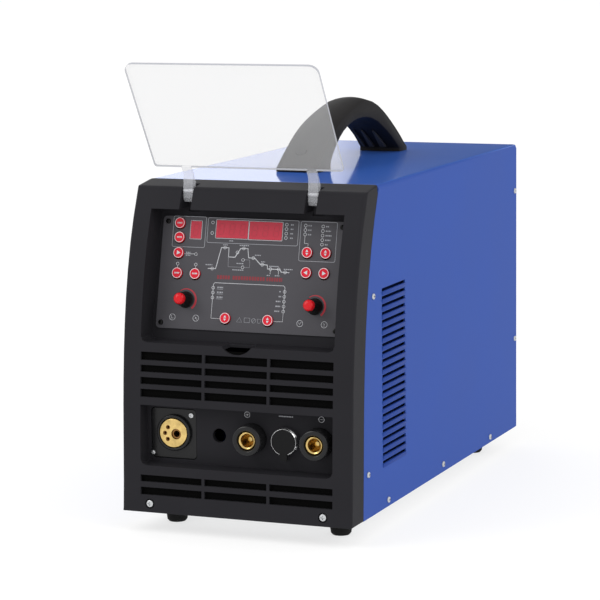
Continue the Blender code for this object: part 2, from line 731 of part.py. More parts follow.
# ---------------------------------------------------------------- clear lid
def lid_matrix():
    """Frame of the lid: X across, Y from the hinged edge to the free edge, Z out of its front."""
    s, c = math.sin(LID_LEAN), math.cos(LID_LEAN)
    o = LID_EDGE
    return Matrix(((1, 0, 0, o.x), (0, -s, -c, o.y), (0, c, -s, o.z), (0, 0, 0, 1)))


def clear_lid():
    """Clear plastic sheet with two cranked arms that turn on the hinge rod."""
    outline = rounded(-LID_HALF, 0.0, LID_HALF, LID_HEIGHT, (0.003, 0.009), 4)
    lid = piece("clear_lid", slab([outline], -LID_THICK / 2, LID_THICK / 2, lid_matrix()),
                "lid_clear", origin=LID_PIVOT)
    frame = lid_matrix()
    front, back = LID_THICK / 2 - 0.0002, -LID_THICK / 2 + 0.0002
    high = [frame @ Vector((0, 0.006, z)) for z in (front, back)]
    low = [frame @ Vector((0, -0.009, z)) for z in (front, back)]
    arm = [(high[0].y, high[0].z), (low[0].y, low[0].z), (0.0484, 0.3280), (0.0510, 0.3240),
           (0.0552, 0.3252),
           (0.0566, 0.3440), (low[1].y, low[1].z), (high[1].y, high[1].z)]
    for name, side in (("left", -1), ("right", 1)):
        x = side * ARM_X
        join(lid, f"lid_arm_{name}", slab([arm], x - ARM_WIDTH / 2, x + ARM_WIDTH / 2, ALONG_X))
    hole = rod((-0.08, LID_PIVOT.y, LID_PIVOT.z), (0.08, LID_PIVOT.y, LID_PIVOT.z),
               HINGE_ROD_RADIUS + GAP, 16)
    cut(lid, "lid_rod_hole", hole)
    pin = rod((-0.079, LID_PIVOT.y, LID_PIVOT.z), (0.079, LID_PIVOT.y, LID_PIVOT.z), HINGE_ROD_RADIUS, 12)
    piece("hinge_rod", pin, "zinc_steel")


# ---------------------------------------------------------------- feet and rear fittings
def feet():
    profile = [(0.0, CASE_BOTTOM - GAP), (0.0110, CASE_BOTTOM - GAP), (0.0110, 0.0080), (0.0102, 0.0022),
               (0.0084, 0.0), (0.0, 0.0)]
    spots = {"front_left": (-1, 0.0574), "front_right": (1, 0.0574), "rear_left": (-1, 0.4690),
             "rear_right": (1, 0.4690)}
    for name, (side, y) in spots.items():
        place = Matrix.Translation((side * 0.0884, y, 0.0))
        piece(f"foot_{name}", turned(profile, place, 20), "rubber", origin=place.translation)


def rear_fittings():
    """Cable gland, gas inlet and the rocker mains switch in its bezel."""
    reach = REAR_REACH
    gland = [(0.0088, reach + 0.003), (0.0120, reach - 0.002), (0.0140, 0.0140), (0.0140, 0.0030),
             (0.0110, 0.0030), (0.0110, -0.0120), (0.0068, -0.0120), (0.0068, reach + 0.003)]
    place = facing_rear(GLAND_X, CASE_DEPTH - 0.003, GLAND_Z)
    piece("mains_gland", turned(gland, place, 16, closed=True), "socket_black")
    inlet = [(0.0050, 0.0220), (0.0058, 0.0190), (0.0048, 0.0180), (0.0048, 0.0110), (0.0095, 0.0110),
             (0.0095, 0.0030), (0.0070, 0.0030), (0.0070, -0.0100), (0.0036, -0.0100), (0.0036, 0.0220)]
    place = facing_rear(GAS_X, CASE_DEPTH - 0.003, GAS_Z)
    piece("gas_inlet", turned(inlet, place, 12, closed=True), "brass")
    well = rounded(-0.0690, 0.2715, -0.0510, 0.2985, 0.0008, 1)
    bezel = [rounded(-0.0740, 0.2662, -0.0460, 0.3038, 0.003, 2), well]
    frame = piece("switch_body", slab(bezel, -0.5290, -0.5248, ALONG_Y), "socket_black")
    shell = slab([rounded(-0.0719, 0.2685, -0.0481, 0.3015, 0.0015, 1)], -0.5262, -0.5120, ALONG_Y)
    join(frame, "switch_shell", shell)
    cut(frame, "switch_well", slab([well], -0.5400, -0.5150, ALONG_Y))
    half, depth, tilt = 0.0130, 0.0050, math.radians(12)
    rocker = [(0.0, -half), (depth * 0.9, -half), (0.0026, 0.0), (depth * 0.9, half), (0.0, half),
              (-0.0060, 0.0)]
    turn = Matrix.Translation(SWITCH_PIVOT) @ Matrix.Rotation(tilt, 4, "X")
    outline = [(y, z * 0.97) for y, z in rocker]
    mesh = slab([outline], -0.0086, 0.0086, turn @ ALONG_X)
    piece("switch_rocker", mesh, "socket_black", origin=SWITCH_PIVOT, smooth=False)


def fan():
    """Axial fan behind the rear grille: square frame with its motor cup, and the turning rotor."""
    x, y, z = FAN_AT
    frame = [rounded(x - 0.0590, z - 0.0590, x + 0.0590, z + 0.0590, 0.005, 2), circle(x, z, 0.0560, 32)]
    body = piece("fan_frame", slab(frame, -y - 0.0170, -y + 0.0070, ALONG_Y), "socket_black")
    join(body, "fan_cup", rod((x, y + 0.0125, z), (x, y + 0.0165, z), 0.0200, ROUND))
    struts = [box((x - 0.0580, y + 0.0130, z - 0.0025), (x + 0.0580, y + 0.0160, z + 0.0025)),
              box((x - 0.0025, y + 0.0130, z - 0.0580), (x + 0.0025, y + 0.0160, z + 0.0580))]
    join(body, "fan_strut_across", struts[0])
    join(body, "fan_strut_upright", struts[1])
    hub = [(0.0, 0.0175), (0.0180, 0.0175), (0.0195, 0.0160), (0.0195, 0.0), (0.0, 0.0)]
    centre = Vector((x, y + 0.0120, z))
    rotor = piece("fan_rotor", turned(hub, facing_front(*centre), ROUND), "socket_black", origin=centre)
    blades = 7
    for i in range(blades):
        blade = box((-0.0095, -0.0008, 0.0150), (0.0095, 0.0008, 0.0530))
        pitch = Matrix.Rotation(math.radians(38), 4, "Z")
        spin = Matrix.Rotation(math.tau * i / blades, 4, "Y")
        blade.transform(Matrix.Translation(centre + Vector((0, -0.0088, 0))) @ spin @ pitch)
        join(rotor, f"fan_blade_{i + 1}", blade)


# ---------------------------------------------------------------- wire door and feeder
def wire_door():
    """Side door over the wire compartment, hinged at its rear edge, with a quarter-turn latch."""
    clear = 0.0008
    outline = [(DOOR_FRONT + clear, DOOR_LOW + clear), (DOOR_BACK - clear, DOOR_LOW + clear),
               (DOOR_BACK - clear, DOOR_HIGH - clear), (DOOR_FRONT + clear, DOOR_HIGH - clear)]
    hole = circle(LATCH_AT.y, LATCH_AT.z, 0.0105)
    door = slab([outline, hole], -HALF, -HALF + SHEET, ALONG_X)
    piece("wire_door", door, "cover_blue", origin=DOOR_HINGE, smooth=False)
    disc = slab([circle(LATCH_AT.y, LATCH_AT.z, 0.0102)], -HALF, -HALF + 0.0040, ALONG_X)
    latch = piece("door_latch", disc, "socket_black", origin=LATCH_AT)
    y, z = LATCH_AT.y, LATCH_AT.z
    tongue = rounded(y - 0.005, z - 0.0080, y + 0.005, z + 0.0330, 0.002, 2)
    join(latch, "latch_tongue", slab([tongue], -HALF + 0.0030, -HALF + 0.0052, ALONG_X))


def wire_spool():
    """Spindle on the partition, the plastic reel that turns on it and the wire wound on the reel."""
    x, y, z = SPOOL_AT
    spindle = [(0.0, 0.0430), (0.0240, 0.0430), (0.0240, -0.0275), (0.0330, -0.0290),
               (0.0330, -0.0555), (0.0, -0.0555)]
    place = Matrix.Translation((x, y, z)) @ Matrix.Rotation(math.radians(-90), 4, "Y")
    piece("spool_spindle", turned(spindle, place, ROUND), "spool_plastic")
    reel = [(SPOOL_RADIUS, 0.0275), (SPOOL_RADIUS, 0.0245), (0.0500, 0.0245), (0.0500, -0.0235),
            (SPOOL_RADIUS, -0.0235),
            (SPOOL_RADIUS, -0.0265), (0.0255, -0.0265), (0.0255, 0.0275)]
    piece("wire_reel", turned(reel, place, 28, closed=True), "spool_plastic", origin=SPOOL_AT)
    coil = [(0.0840, 0.0240), (0.0840, -0.0230), (0.0505, -0.0230), (0.0505, 0.0240)]
    piece("wire_coil", turned(coil, place, 28, closed=True), "winding_copper", origin=SPOOL_AT)


def feeder():
    """Wire feeder: plate, motor, driven roll, sprung pressure arm with its roll and tension knob."""
    outline = rounded(FEEDER_Y - 0.055, SOCKET_Z - 0.045, FEEDER_Y + 0.060, SOCKET_Z + 0.055, 0.006, 2)
    plate = slab([outline, circle(DRIVE_AXIS.y, DRIVE_AXIS.z, 0.0050, 16)], PLATE_FACE,
                 PLATE_FACE + 0.006, ALONG_X)
    plate_obj = piece("feeder_plate", plate, "aluminium")
    boss = rod((PLATE_FACE + 0.003, ARM_PIVOT.y, ARM_PIVOT.z), (-0.0660, ARM_PIVOT.y, ARM_PIVOT.z),
               0.0045, 16)
    join(plate_obj, "arm_boss", boss)
    motor = rod((-0.0457, DRIVE_AXIS.y, DRIVE_AXIS.z + 0.012),
                (-0.0065, DRIVE_AXIS.y, DRIVE_AXIS.z + 0.012), 0.0300, ROUND)
    piece("feed_motor", motor, "core_grey")

    roll = [(0.0, 0.0060), (0.0135, 0.0060), (ROLL_RADIUS, 0.0050), (ROLL_RADIUS, 0.0010),
            (ROLL_RADIUS - 0.0010, 0.0), (ROLL_RADIUS, -0.0010), (ROLL_RADIUS, -0.0050),
            (0.0135, -0.0060), (0.0045, -0.0060), (0.0045, -0.0255), (0.0, -0.0255)]
    turn = Matrix.Rotation(math.radians(-90), 4, "Y")
    piece("drive_roll", turned(roll, Matrix.Translation(DRIVE_AXIS) @ turn, 16), "zinc_steel",
          origin=DRIVE_AXIS)
    press = roll[:8] + [(0.0, -0.0060)]
    piece("pressure_roll", turned(press, Matrix.Translation(PRESS_AXIS) @ turn, 16), "zinc_steel",
          origin=PRESS_AXIS)

    y, z = FEEDER_Y, SOCKET_Z
    lever = [(y + 0.048, z + 0.012), (y + 0.050, z + 0.022), (y + 0.044, z + 0.029), (y - 0.040, z + 0.029),
             (y - 0.044, z + 0.026), (y - 0.044, z + 0.020), (y - 0.010, z + 0.010), (y + 0.010, z + 0.008),
             (y + 0.036, z + 0.011)]
    hole = circle(ARM_PIVOT.y, ARM_PIVOT.z, 0.0048, 16)
    piece("pressure_arm", slab([lever, hole], -0.0655, -0.0560, ALONG_X), "aluminium", origin=ARM_PIVOT)
    knob = [(0.0, 0.0260), (0.0075, 0.0260), (0.0088, 0.0245), (0.0088, 0.0030), (0.0060, 0.0), (0.0, 0.0)]
    piece("tension_knob", turned(knob, Matrix.Translation(TENSION_AT), 16), "knob_black", origin=TENSION_AT)
    guide = [(0.0040, 0.0880), (0.0040, 0.0), (0.0012, 0.0), (0.0012, 0.0880)]
    piece("outlet_guide", turned(guide, facing_front(EURO_X, 0.1492, SOCKET_Z), 12, closed=True), "brass")


# ---------------------------------------------------------------- power parts
def power_parts():
    """Finned heatsink, power board and transformer core on the right of the partition."""
    x0, x1, z0, z1 = 0.012, 0.100, 0.150, 0.178
    outline = [(x0, z0), (x1, z0), (x1, z1)]
    fins, pitch, fin = 8, (x1 - x0) / 8, 0.004
    for i in reversed(range(fins)):
        left = x0 + i * pitch
        if i < fins - 1:
            outline += [(left + fin, z0 + 0.008), (left + fin, z1)]
        outline += [(left, z1), (left, z0 + 0.008)] if i else [(left, z1)]
    piece("heatsink", slab([outline], -0.400, -0.230, ALONG_Y), "aluminium", smooth=False)
    piece("power_board", box((0.010, 0.120, 0.205), (0.112, 0.440, 0.2066)), "board_green", smooth=False)
    core = [[(0.020, 0.030), (0.090, 0.030), (0.090, 0.096), (0.020, 0.096)],
            [(0.034, 0.044), (0.076, 0.044), (0.076, 0.082), (0.034, 0.082)]]
    piece("transformer_core", slab(core, -0.330, -0.290, ALONG_Y), "core_grey", smooth=False)


front_moulding()
wrap_cover()
base_pan()
rear_panel()
partition_plate()
carry_handle()
control_plate()
displays()
control_board()
buttons()
knobs()
euro_socket()
power_sockets()
remote_socket()
clear_lid()
feet()
rear_fittings()
fan()
wire_door()
wire_spool()
feeder()
power_parts()
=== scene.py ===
"""Looks of a portable inverter welding machine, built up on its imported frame.

The sections follow the machine as it is put together: sheet-metal base, moulded front, folded cover,
handle and feet, control panel, sockets, clear lid, rear wall, and the wire feeder behind the side door.
"""
import json
import math

import bpy
from mathutils import Matrix, Vector

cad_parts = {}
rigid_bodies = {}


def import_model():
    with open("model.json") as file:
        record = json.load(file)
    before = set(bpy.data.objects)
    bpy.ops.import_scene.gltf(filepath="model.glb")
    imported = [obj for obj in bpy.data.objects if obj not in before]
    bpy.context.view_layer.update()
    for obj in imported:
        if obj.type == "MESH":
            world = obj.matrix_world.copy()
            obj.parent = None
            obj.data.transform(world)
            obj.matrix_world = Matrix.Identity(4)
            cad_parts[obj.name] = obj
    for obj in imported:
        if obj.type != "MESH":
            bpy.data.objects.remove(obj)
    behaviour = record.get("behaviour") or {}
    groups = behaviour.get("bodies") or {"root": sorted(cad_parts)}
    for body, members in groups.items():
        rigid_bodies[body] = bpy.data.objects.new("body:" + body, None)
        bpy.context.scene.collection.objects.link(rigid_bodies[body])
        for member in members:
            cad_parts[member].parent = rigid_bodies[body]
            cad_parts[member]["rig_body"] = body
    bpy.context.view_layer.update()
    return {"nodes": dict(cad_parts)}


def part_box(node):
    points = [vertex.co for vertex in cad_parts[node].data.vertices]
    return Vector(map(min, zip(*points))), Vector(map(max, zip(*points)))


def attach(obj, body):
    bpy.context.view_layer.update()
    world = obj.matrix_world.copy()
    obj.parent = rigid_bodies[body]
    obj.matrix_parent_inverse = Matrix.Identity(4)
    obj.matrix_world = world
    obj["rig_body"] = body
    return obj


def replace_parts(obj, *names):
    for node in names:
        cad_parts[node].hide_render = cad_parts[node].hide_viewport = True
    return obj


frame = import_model()
nodes = frame["nodes"]

# ---------------------------------------------------------------- camera
# A long lens a little above the machine, turned to show its front and its right side. It stands over two
# metres in front of the moulding's front edge and is rolled by less than a degree.
front_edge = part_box("front_moulding")[0].y
yaw, pitch, roll = math.radians(22.162), math.radians(8.597), math.radians(-0.696)
forward = Vector((-math.sin(yaw) * math.cos(pitch), math.cos(yaw) * math.cos(pitch), -math.sin(pitch)))
level = forward.cross(Vector((0.0, 0.0, 1.0))).normalized()
above = level.cross(forward)
across = math.cos(roll) * level + math.sin(roll) * above
upward = math.cos(roll) * above - math.sin(roll) * level

lens = bpy.data.cameras.new("camera")
lens.sensor_width = 36.0
lens.lens = 154.87
lens.clip_end = 50.0
camera = bpy.data.objects.new("camera", lens)
eye = (0.98629, front_edge - 2.24677, 0.60672)
axes = Matrix((across, upward, -forward)).transposed().to_4x4()
camera.matrix_world = Matrix.Translation(eye) @ axes
bpy.context.scene.collection.objects.link(camera)
bpy.context.scene.camera = camera

# ---------------------------------------------------------------- floor and light
# White studio sweep under two broad softboxes. The floor glows a little, as a backlit sweep does, and the
# light from all round is white: brighter from a window wall behind on the left, dim to the right of it.
bpy.context.scene.view_settings.view_transform = "Standard"
bpy.ops.object.select_all(action="DESELECT")
bpy.ops.mesh.primitive_plane_add(size=40.0)
floor = bpy.context.object
floor.name = "studio_floor"
floor_paint = bpy.data.materials.new("studio_floor")
floor_paint.use_nodes = True
floor_shader = floor_paint.node_tree.nodes["Principled BSDF"]
floor_shader.inputs["Base Color"].default_value = (0.34, 0.34, 0.34, 1.0)
floor_shader.inputs["Roughness"].default_value = 0.9
floor_shader.inputs["Specular IOR Level"].default_value = 0.0
floor_shader.inputs["Emission Color"].default_value = (1.0, 1.0, 1.0, 1.0)
floor_shader.inputs["Emission Strength"].default_value = 0.68
floor.data.materials.append(floor_paint)

studio = bpy.data.worlds.new("studio")
studio.use_nodes = True
bpy.context.scene.world = studio
room = studio.node_tree
room.nodes["Background"].inputs["Color"].default_value = (1.0, 1.0, 1.0, 1.0)
towards = room.nodes.new("ShaderNodeTexCoord")


def room_maths(operation, left, right):
    made = room.nodes.new("ShaderNodeMath")
    made.operation = operation
    for socket, value in zip(made.inputs, (left, right)):
        if isinstance(value, float):
            socket.default_value = value
        else:
            room.links.new(value, socket)
    return made.outputs[0]


def facing_share(direction, low, high):
    """0 to 1 as the direction looked in comes round to the given one."""
    product = room.nodes.new("ShaderNodeVectorMath")
    product.operation = "DOT_PRODUCT"
    product.inputs[1].default_value = direction
    room.links.new(towards.outputs["Generated"], product.inputs[0])
    share = room.nodes.new("ShaderNodeMapRange")
    share.inputs["From Min"].default_value = low
    share.inputs["From Max"].default_value = high
    room.links.new(product.outputs["Value"], share.inputs["Value"])
    return share.outputs["Result"]


back_wall = facing_share((-0.355, 0.925, 0.139), 0.80, 0.93)
dark_side = facing_share((0.932, 0.363, 0.0), -0.015, 0.025)
off_floor = facing_share((0.0, 0.0, 1.0), 0.05, 0.08)
window_light, dimming = 0.60, 1.55
window = room_maths("SUBTRACT", window_light, room_maths("MULTIPLY", dark_side, dimming))
window = room_maths("MULTIPLY", room_maths("MULTIPLY", window, back_wall), off_floor)
room.links.new(room_maths("ADD", window, 1.0), room.nodes["Background"].inputs["Strength"])

softboxes = {
    "softbox_left": ((-1.9, -1.9, 2.0), 1.6, 26.0),
    "softbox_right": ((2.6, -0.6, 1.7), 1.8, 22.0),
}
for name, (place, size, power) in softboxes.items():
    light = bpy.data.lights.new(name, "AREA")
    light.size = size
    light.energy = power
    softbox = bpy.data.objects.new(name, light)
    aim = (Vector((0.0, 0.0, 0.2)) - Vector(place)).to_track_quat("-Z", "Y")
    softbox.matrix_world = Matrix.Translation(place) @ aim.to_matrix().to_4x4()
    bpy.context.scene.collection.objects.link(softbox)

# ---------------------------------------------------------------- base pan and partition
# Folded sheet steel with a zinc coat: the pan that everything stands on, and the wall between the wire
# compartment and the power parts. The zinc shows as faint spangles.


class Value:
    """A node's output that takes part in expressions; each operator adds its Math node."""

    def __init__(self, finish, socket):
        self.finish = finish
        self.socket = socket

    def maths(self, operation, left, right):
        return self.finish.node("ShaderNodeMath", {0: left, 1: right}, operation=operation)

    def __add__(self, other):
        return self.maths("ADD", self, other)

    def __mul__(self, other):
        return self.maths("MULTIPLY", self, other)

    def __gt__(self, other):
        return self.maths("GREATER_THAN", self, other)

    __radd__ = __add__
    __rmul__ = __mul__


class Finish:
    """A material: its Principled shader, and one method that adds any other node."""

    def __init__(self, name, **fixed):
        self.material = bpy.data.materials.new(name)
        self.material.use_nodes = True
        self.tree = self.material.node_tree
        self.shader = self.tree.nodes["Principled BSDF"]
        for socket, value in fixed.items():
            self.shader.inputs[socket.replace("_", " ")].default_value = value
        self.place = self.node("ShaderNodeTexCoord", {}, output="Object")

    def node(self, kind, inputs, output=0, **settings):
        made = self.tree.nodes.new(kind)
        for key, value in settings.items():
            setattr(made, key, value)
        for key, value in inputs.items():
            self.feed(made.inputs[key], value)
        return Value(self, made.outputs[output])

    def feed(self, socket, value):
        if isinstance(value, Value):
            self.tree.links.new(value.socket, socket)
        else:
            socket.default_value = value

    def noise(self, size, detail=2.0, stretch=(1.0, 1.0, 1.0)):
        """Cloudy values about 0.5, with features of the given size in metres."""
        place = self.node("ShaderNodeMapping", {"Vector": self.place, "Scale": stretch})
        return self.node("ShaderNodeTexNoise", {"Vector": place, "Scale": 1.0 / size, "Detail": detail})

    def mix(self, low, high, share):
        """Colour between two colours; a colour is a link or three numbers."""
        pair = [c if isinstance(c, Value) else (*c, 1.0) for c in (low, high)]
        return self.node("ShaderNodeMix", {0: share, 6: pair[0], 7: pair[1]}, output=2, data_type="RGBA")

    def use(self, **fed):
        """Links varying values to the shader's sockets."""
        for socket, value in fed.items():
            self.feed(self.shader.inputs[socket.replace("_", " ")], value)
        return self

    def bumped(self, height, depth):
        """Surface relief of the given depth in metres."""
        relief = self.node("ShaderNodeBump", {"Height": height, "Distance": depth, "Strength": 1.0})
        return self.use(Normal=relief)


def shade(colour, amount):
    return tuple(c * amount for c in colour)


def sheet_zinc(name, colour):
    finish = Finish(name, Metallic=1.0)
    spangle = finish.node("ShaderNodeTexVoronoi", {"Vector": finish.place, "Scale": 260.0}, output="Color")
    tone = finish.node("ShaderNodeSeparateColor", {"Color": spangle})
    haze = finish.noise(0.02)
    finish.use(Base_Color=finish.mix(shade(colour, 0.85), shade(colour, 1.1), tone))
    finish.use(Roughness=0.28 + 0.12 * tone + 0.10 * haze)
    return finish.bumped(finish.noise(0.0015), 0.00002)


def paint(piece, *finishes):
    """Gives a piece its materials, first slot first."""
    while piece.data.materials:
        piece.data.materials.pop(index=len(piece.data.materials) - 1)
    for finish in finishes:
        piece.data.materials.append(finish.material)
    return piece


zinc = sheet_zinc("zinc_sheet", (0.58, 0.59, 0.61))
for name in ("base_pan", "partition_plate", "hinge_rod"):
    paint(nodes[name], zinc)

# ---------------------------------------------------------------- front moulding
# One black moulding of flame-retardant plastic with a fine spark-eroded grain. It carries the recess of
# the control panel, the air slots, and the recess of the sockets, and is held by two screws at its foot.


def moulded(name, colour, roughness=0.5, grain=0.0005, depth=0.00004, gloss=0.22):
    finish = Finish(name, Specular_IOR_Level=gloss, IOR=1.3)
    patches = finish.noise(0.06)
    grains = finish.noise(grain, detail=3.0)
    finish.use(Base_Color=finish.mix(shade(colour, 0.86), shade(colour, 1.14), patches * 0.7 + grains * 0.3))
    finish.use(Roughness=roughness - 0.08 + 0.10 * patches + 0.06 * grains)
    return finish.bumped(grains, depth)


def select_only(piece):
    bpy.ops.object.select_all(action="DESELECT")
    piece.select_set(True)
    bpy.context.view_layer.objects.active = piece


smooth_angle, sharp_angle = math.radians(34.0), math.radians(36.0)


def finished(name, node, edge=0.0004, segments=2):
    """Copy of a CAD node made one clean shell, with its sharp edges broken as on the real piece."""
    source = nodes[node]
    piece = bpy.data.objects.new(name, source.data.copy())
    bpy.context.scene.collection.objects.link(piece)
    select_only(piece)
    if piece.data.has_custom_normals:
        bpy.ops.mesh.customdata_custom_splitnormals_clear()
    bpy.ops.object.mode_set(mode="EDIT")
    bpy.ops.mesh.select_all(action="SELECT")
    bpy.ops.mesh.remove_doubles(threshold=0.000005)
    bpy.ops.mesh.dissolve_limited(angle_limit=math.radians(0.4))
    bpy.ops.object.mode_set(mode="OBJECT")
    if edge:
        rounding = piece.modifiers.new("edges", "BEVEL")
        rounding.width = edge
        rounding.segments = segments
        rounding.limit_method = "ANGLE"
        rounding.angle_limit = sharp_angle
        rounding.use_clamp_overlap = True
        bpy.ops.object.modifier_apply(modifier="edges")
    bpy.ops.object.shade_smooth_by_angle(angle=smooth_angle)
    if edge:
        flatter = piece.modifiers.new("flatter", "WEIGHTED_NORMAL")
        flatter.keep_sharp = True
        bpy.ops.object.modifier_apply(modifier="flatter")
    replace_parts(piece, node)
    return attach(piece, source["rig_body"])


front_plastic = moulded("front_plastic", (0.0195, 0.0190, 0.0220), gloss=0.10)
front_piece = finished("front_shell", "front_moulding", edge=0.0011, segments=3)
paint(front_piece, front_plastic)

# ---------------------------------------------------------------- folded cover and side door
# One blue powder-coated sheet folded over both sides and the top, with a door of the same sheet on the
# left. The coat lies flat and glossy on the top, duller on the sides, with the orange peel of powder; the
# top is also painted a brighter blue, as painted light falling on it from above.


def powder_coat(name, colour):
    finish = Finish(name, IOR=1.08, Coat_Roughness=0.07, Coat_IOR=1.8)
    peel = finish.noise(0.0035, detail=1.0)
    cloud = finish.noise(0.12)
    height = finish.node("ShaderNodeSeparateXYZ", {"Vector": finish.place}, output="Z")
    flat_top = height > top_sheet - 0.0006
    side_blue = finish.mix(shade(colour, 0.94), shade(colour, 1.06), cloud)
    # Painted light: the flat top gets a brighter blue than the sides, in place of the light that falls on
    # it.
    painted_light_top_blue = (0.040, 0.130, 0.520)
    finish.use(Base_Color=finish.mix(side_blue, painted_light_top_blue, flat_top))
    finish.use(Roughness=0.34 + 0.10 * cloud, Coat_Weight=0.72 * flat_top)
    return finish.bumped(peel, 0.00001)


top_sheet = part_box("wrap_cover")[1].z
blue_coat = powder_coat("blue_powder_coat", (0.034, 0.079, 0.325))
for name, node in (("folded_cover", "wrap_cover"), ("side_door", "wire_door")):
    paint(finished(name, node, edge=0.0003), blue_coat)

# ---------------------------------------------------------------- pressed louvres
# Air louvres pressed out of the right side: under each slit the sheet bulges into a scoop that leans out
# towards its upper lip. One scoop is shaped and then repeated down the column.
cover_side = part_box("wrap_cover")[1].x
louvre_count, louvre_pitch, lowest_slit, half_slit = 23, 0.0078, 0.0675, 0.0016
scoop_length, scoop_height, scoop_reach = 0.0672, 0.0045, 0.0012

bpy.ops.object.select_all(action="DESELECT")
bpy.ops.mesh.primitive_cube_add(size=1.0, scale=(scoop_reach, scoop_length, scoop_height))
scoop = bpy.context.object
bpy.ops.object.transform_apply(scale=True)


def pick(piece, kind, chosen):
    """Selects the piece's edges or vertices that a test on their place accepts, for work in edit mode."""
    bpy.ops.object.mode_set(mode="EDIT")
    bpy.ops.mesh.select_mode(type={"edges": "EDGE", "verts": "VERT"}[kind])
    bpy.ops.mesh.select_all(action="DESELECT")
    bpy.ops.object.mode_set(mode="OBJECT")
    points = [v.co for v in piece.data.vertices]
    if kind == "edges":
        for edge in piece.data.edges:
            edge.select = bool(chosen(*(points[i] for i in edge.vertices)))
    else:
        for vertex in piece.data.vertices:
            vertex.select = bool(chosen(vertex.co))
    bpy.ops.object.mode_set(mode="EDIT")


def outer_end(a, b):
    at_end = min(abs(a.y), abs(b.y)) > 0.4 * scoop_length
    return at_end and min(a.x, b.x) > -0.4 * scoop_reach


pick(scoop, "verts", lambda p: p.x > 0 and p.z < 0)
bpy.ops.transform.translate(value=(-0.80 * scoop_reach, 0.0, 0.0))
pick(scoop, "edges", outer_end)
bpy.ops.mesh.bevel(offset=0.0008, segments=3)
bpy.ops.mesh.select_all(action="SELECT")
bpy.ops.mesh.normals_make_consistent(inside=False)
bpy.ops.object.mode_set(mode="OBJECT")
bpy.ops.object.shade_smooth_by_angle(angle=smooth_angle)


def bar(size, place=(0.0, 0.0, 0.0)):
    bpy.ops.object.select_all(action="DESELECT")
    bpy.ops.mesh.primitive_cube_add(size=1.0, scale=size, location=place)
    bpy.ops.object.transform_apply(location=True, scale=True)
    return bpy.context.object


def placed(master, name, matrix, body):
    """Copy of a shaped piece, with its own mesh, set at its place on a body."""
    piece = bpy.data.objects.new(name, master.data.copy())
    bpy.context.scene.collection.objects.link(piece)
    piece.data.transform(matrix)
    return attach(piece, body)


def drop(*masters):
    """Removes the pieces that were only shaped to be copied."""
    for master in masters:
        bpy.data.objects.remove(master, do_unlink=True)


# Painted shade: the scoops are the cover's sheet, painted a darker blue in place of the shade under each
# lip.
painted_shade_scoop_blue = powder_coat("painted_shade_scoop_blue", (0.020, 0.052, 0.250))
slits_middle = front_edge + 0.12125
for i in range(louvre_count):
    lip = lowest_slit + i * louvre_pitch - half_slit
    place = (cover_side + scoop_reach / 2 - 0.0001, slits_middle, lip - scoop_height / 2 + 0.0003)
    piece = placed(scoop, f"louvre_scoop_{i + 1}", Matrix.Translation(place), "case")
    paint(piece, painted_shade_scoop_blue)
drop(scoop)
# Painted shade: a dark navy sheet inside the cover, behind the slits, in place of the shade inside the case.
shade_place = (cover_side - 0.0050, slits_middle, lowest_slit + louvre_pitch * (louvre_count - 1) / 2)
shade_plate = bar((0.0008, 0.0800, louvre_pitch * louvre_count + 0.010), shade_place)
shade_plate.name = "louvre_painted_shade"
paint(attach(shade_plate, "case"), moulded("painted_shade_navy", (0.003, 0.007, 0.035), roughness=0.8, gloss=0.05))

# ---------------------------------------------------------------- cover screws
# Zinc-plated pan-head screws with a cross recess, driven through the cover's sides into the base pan, the
# front moulding and the rear panel.


def machined(name, colour, roughness, size=0.0006, tones=(0.88, 1.08)):
    """Bare or plated metal with fine tool marks and a slightly cloudy lustre."""
    finish = Finish(name, Metallic=1.0)
    marks = finish.noise(size, detail=2.0, stretch=(1.0, 6.0, 1.0))
    cloud = finish.noise(0.006)
    finish.use(Base_Color=finish.mix(shade(colour, tones[0]), shade(colour, tones[1]), cloud))
    finish.use(Roughness=roughness - 0.06 + 0.12 * marks + 0.06 * cloud)
    return finish.bumped(marks, 0.000008)


def drawn_up(name, rings, sides):
    """Turned piece, drawn up ring by ring from a disc; a ring is its (radius, height) in metres."""
    bpy.ops.object.select_all(action="DESELECT")
    bpy.ops.mesh.primitive_circle_add(vertices=sides, radius=rings[0][0], fill_type="NGON")
    piece = bpy.context.object
    piece.name = name
    piece.data.transform(Matrix.Translation((0.0, 0.0, rings[0][1])))
    bpy.ops.object.mode_set(mode="EDIT")
    bpy.ops.mesh.select_all(action="SELECT")
    for (radius, height), (wider, higher) in zip(rings, rings[1:]):
        bpy.ops.mesh.extrude_region_move(TRANSFORM_OT_translate={"value": (0.0, 0.0, higher - height)})
        bpy.ops.transform.resize(value=(wider / radius, wider / radius, 1.0))
    bpy.ops.mesh.select_all(action="SELECT")
    bpy.ops.mesh.normals_make_consistent(inside=False)
    bpy.ops.object.mode_set(mode="OBJECT")
    bpy.ops.object.shade_smooth_by_angle(angle=smooth_angle)
    return piece


def carved(piece, *cutters):
    """Cuts each of the cutters out of the piece."""
    for cutter in cutters:
        select_only(piece)
        recess = piece.modifiers.new("recess", "BOOLEAN")
        recess.object = cutter
        recess.solver = "EXACT"
        bpy.ops.object.modifier_apply(modifier="recess")
    drop(*cutters)
    return piece


def cross_screw(name, radius):
    height = 0.55 * radius
    rings = [(radius, 0.0), (radius, 0.3 * height), (0.86 * radius, 0.8 * height), (0.55 * radius, height)]
    head = drawn_up(name, rings, sides=20)
    slot_size = (1.15 * radius, 0.30 * radius, 1.5 * height)
    across = bar(slot_size, (0.0, 0.0, height))
    along = bar((slot_size[1], slot_size[0], slot_size[2]), (0.0, 0.0, height))
    carved(head, across, along)
    bpy.ops.object.shade_smooth_by_angle(angle=smooth_angle)
    return head


def facing(place, towards):
    """Place of a piece whose top looks along the given direction."""
    turn = Vector(towards).to_track_quat("Z", "Y").to_matrix().to_4x4()
    return Matrix.Translation(place) @ turn


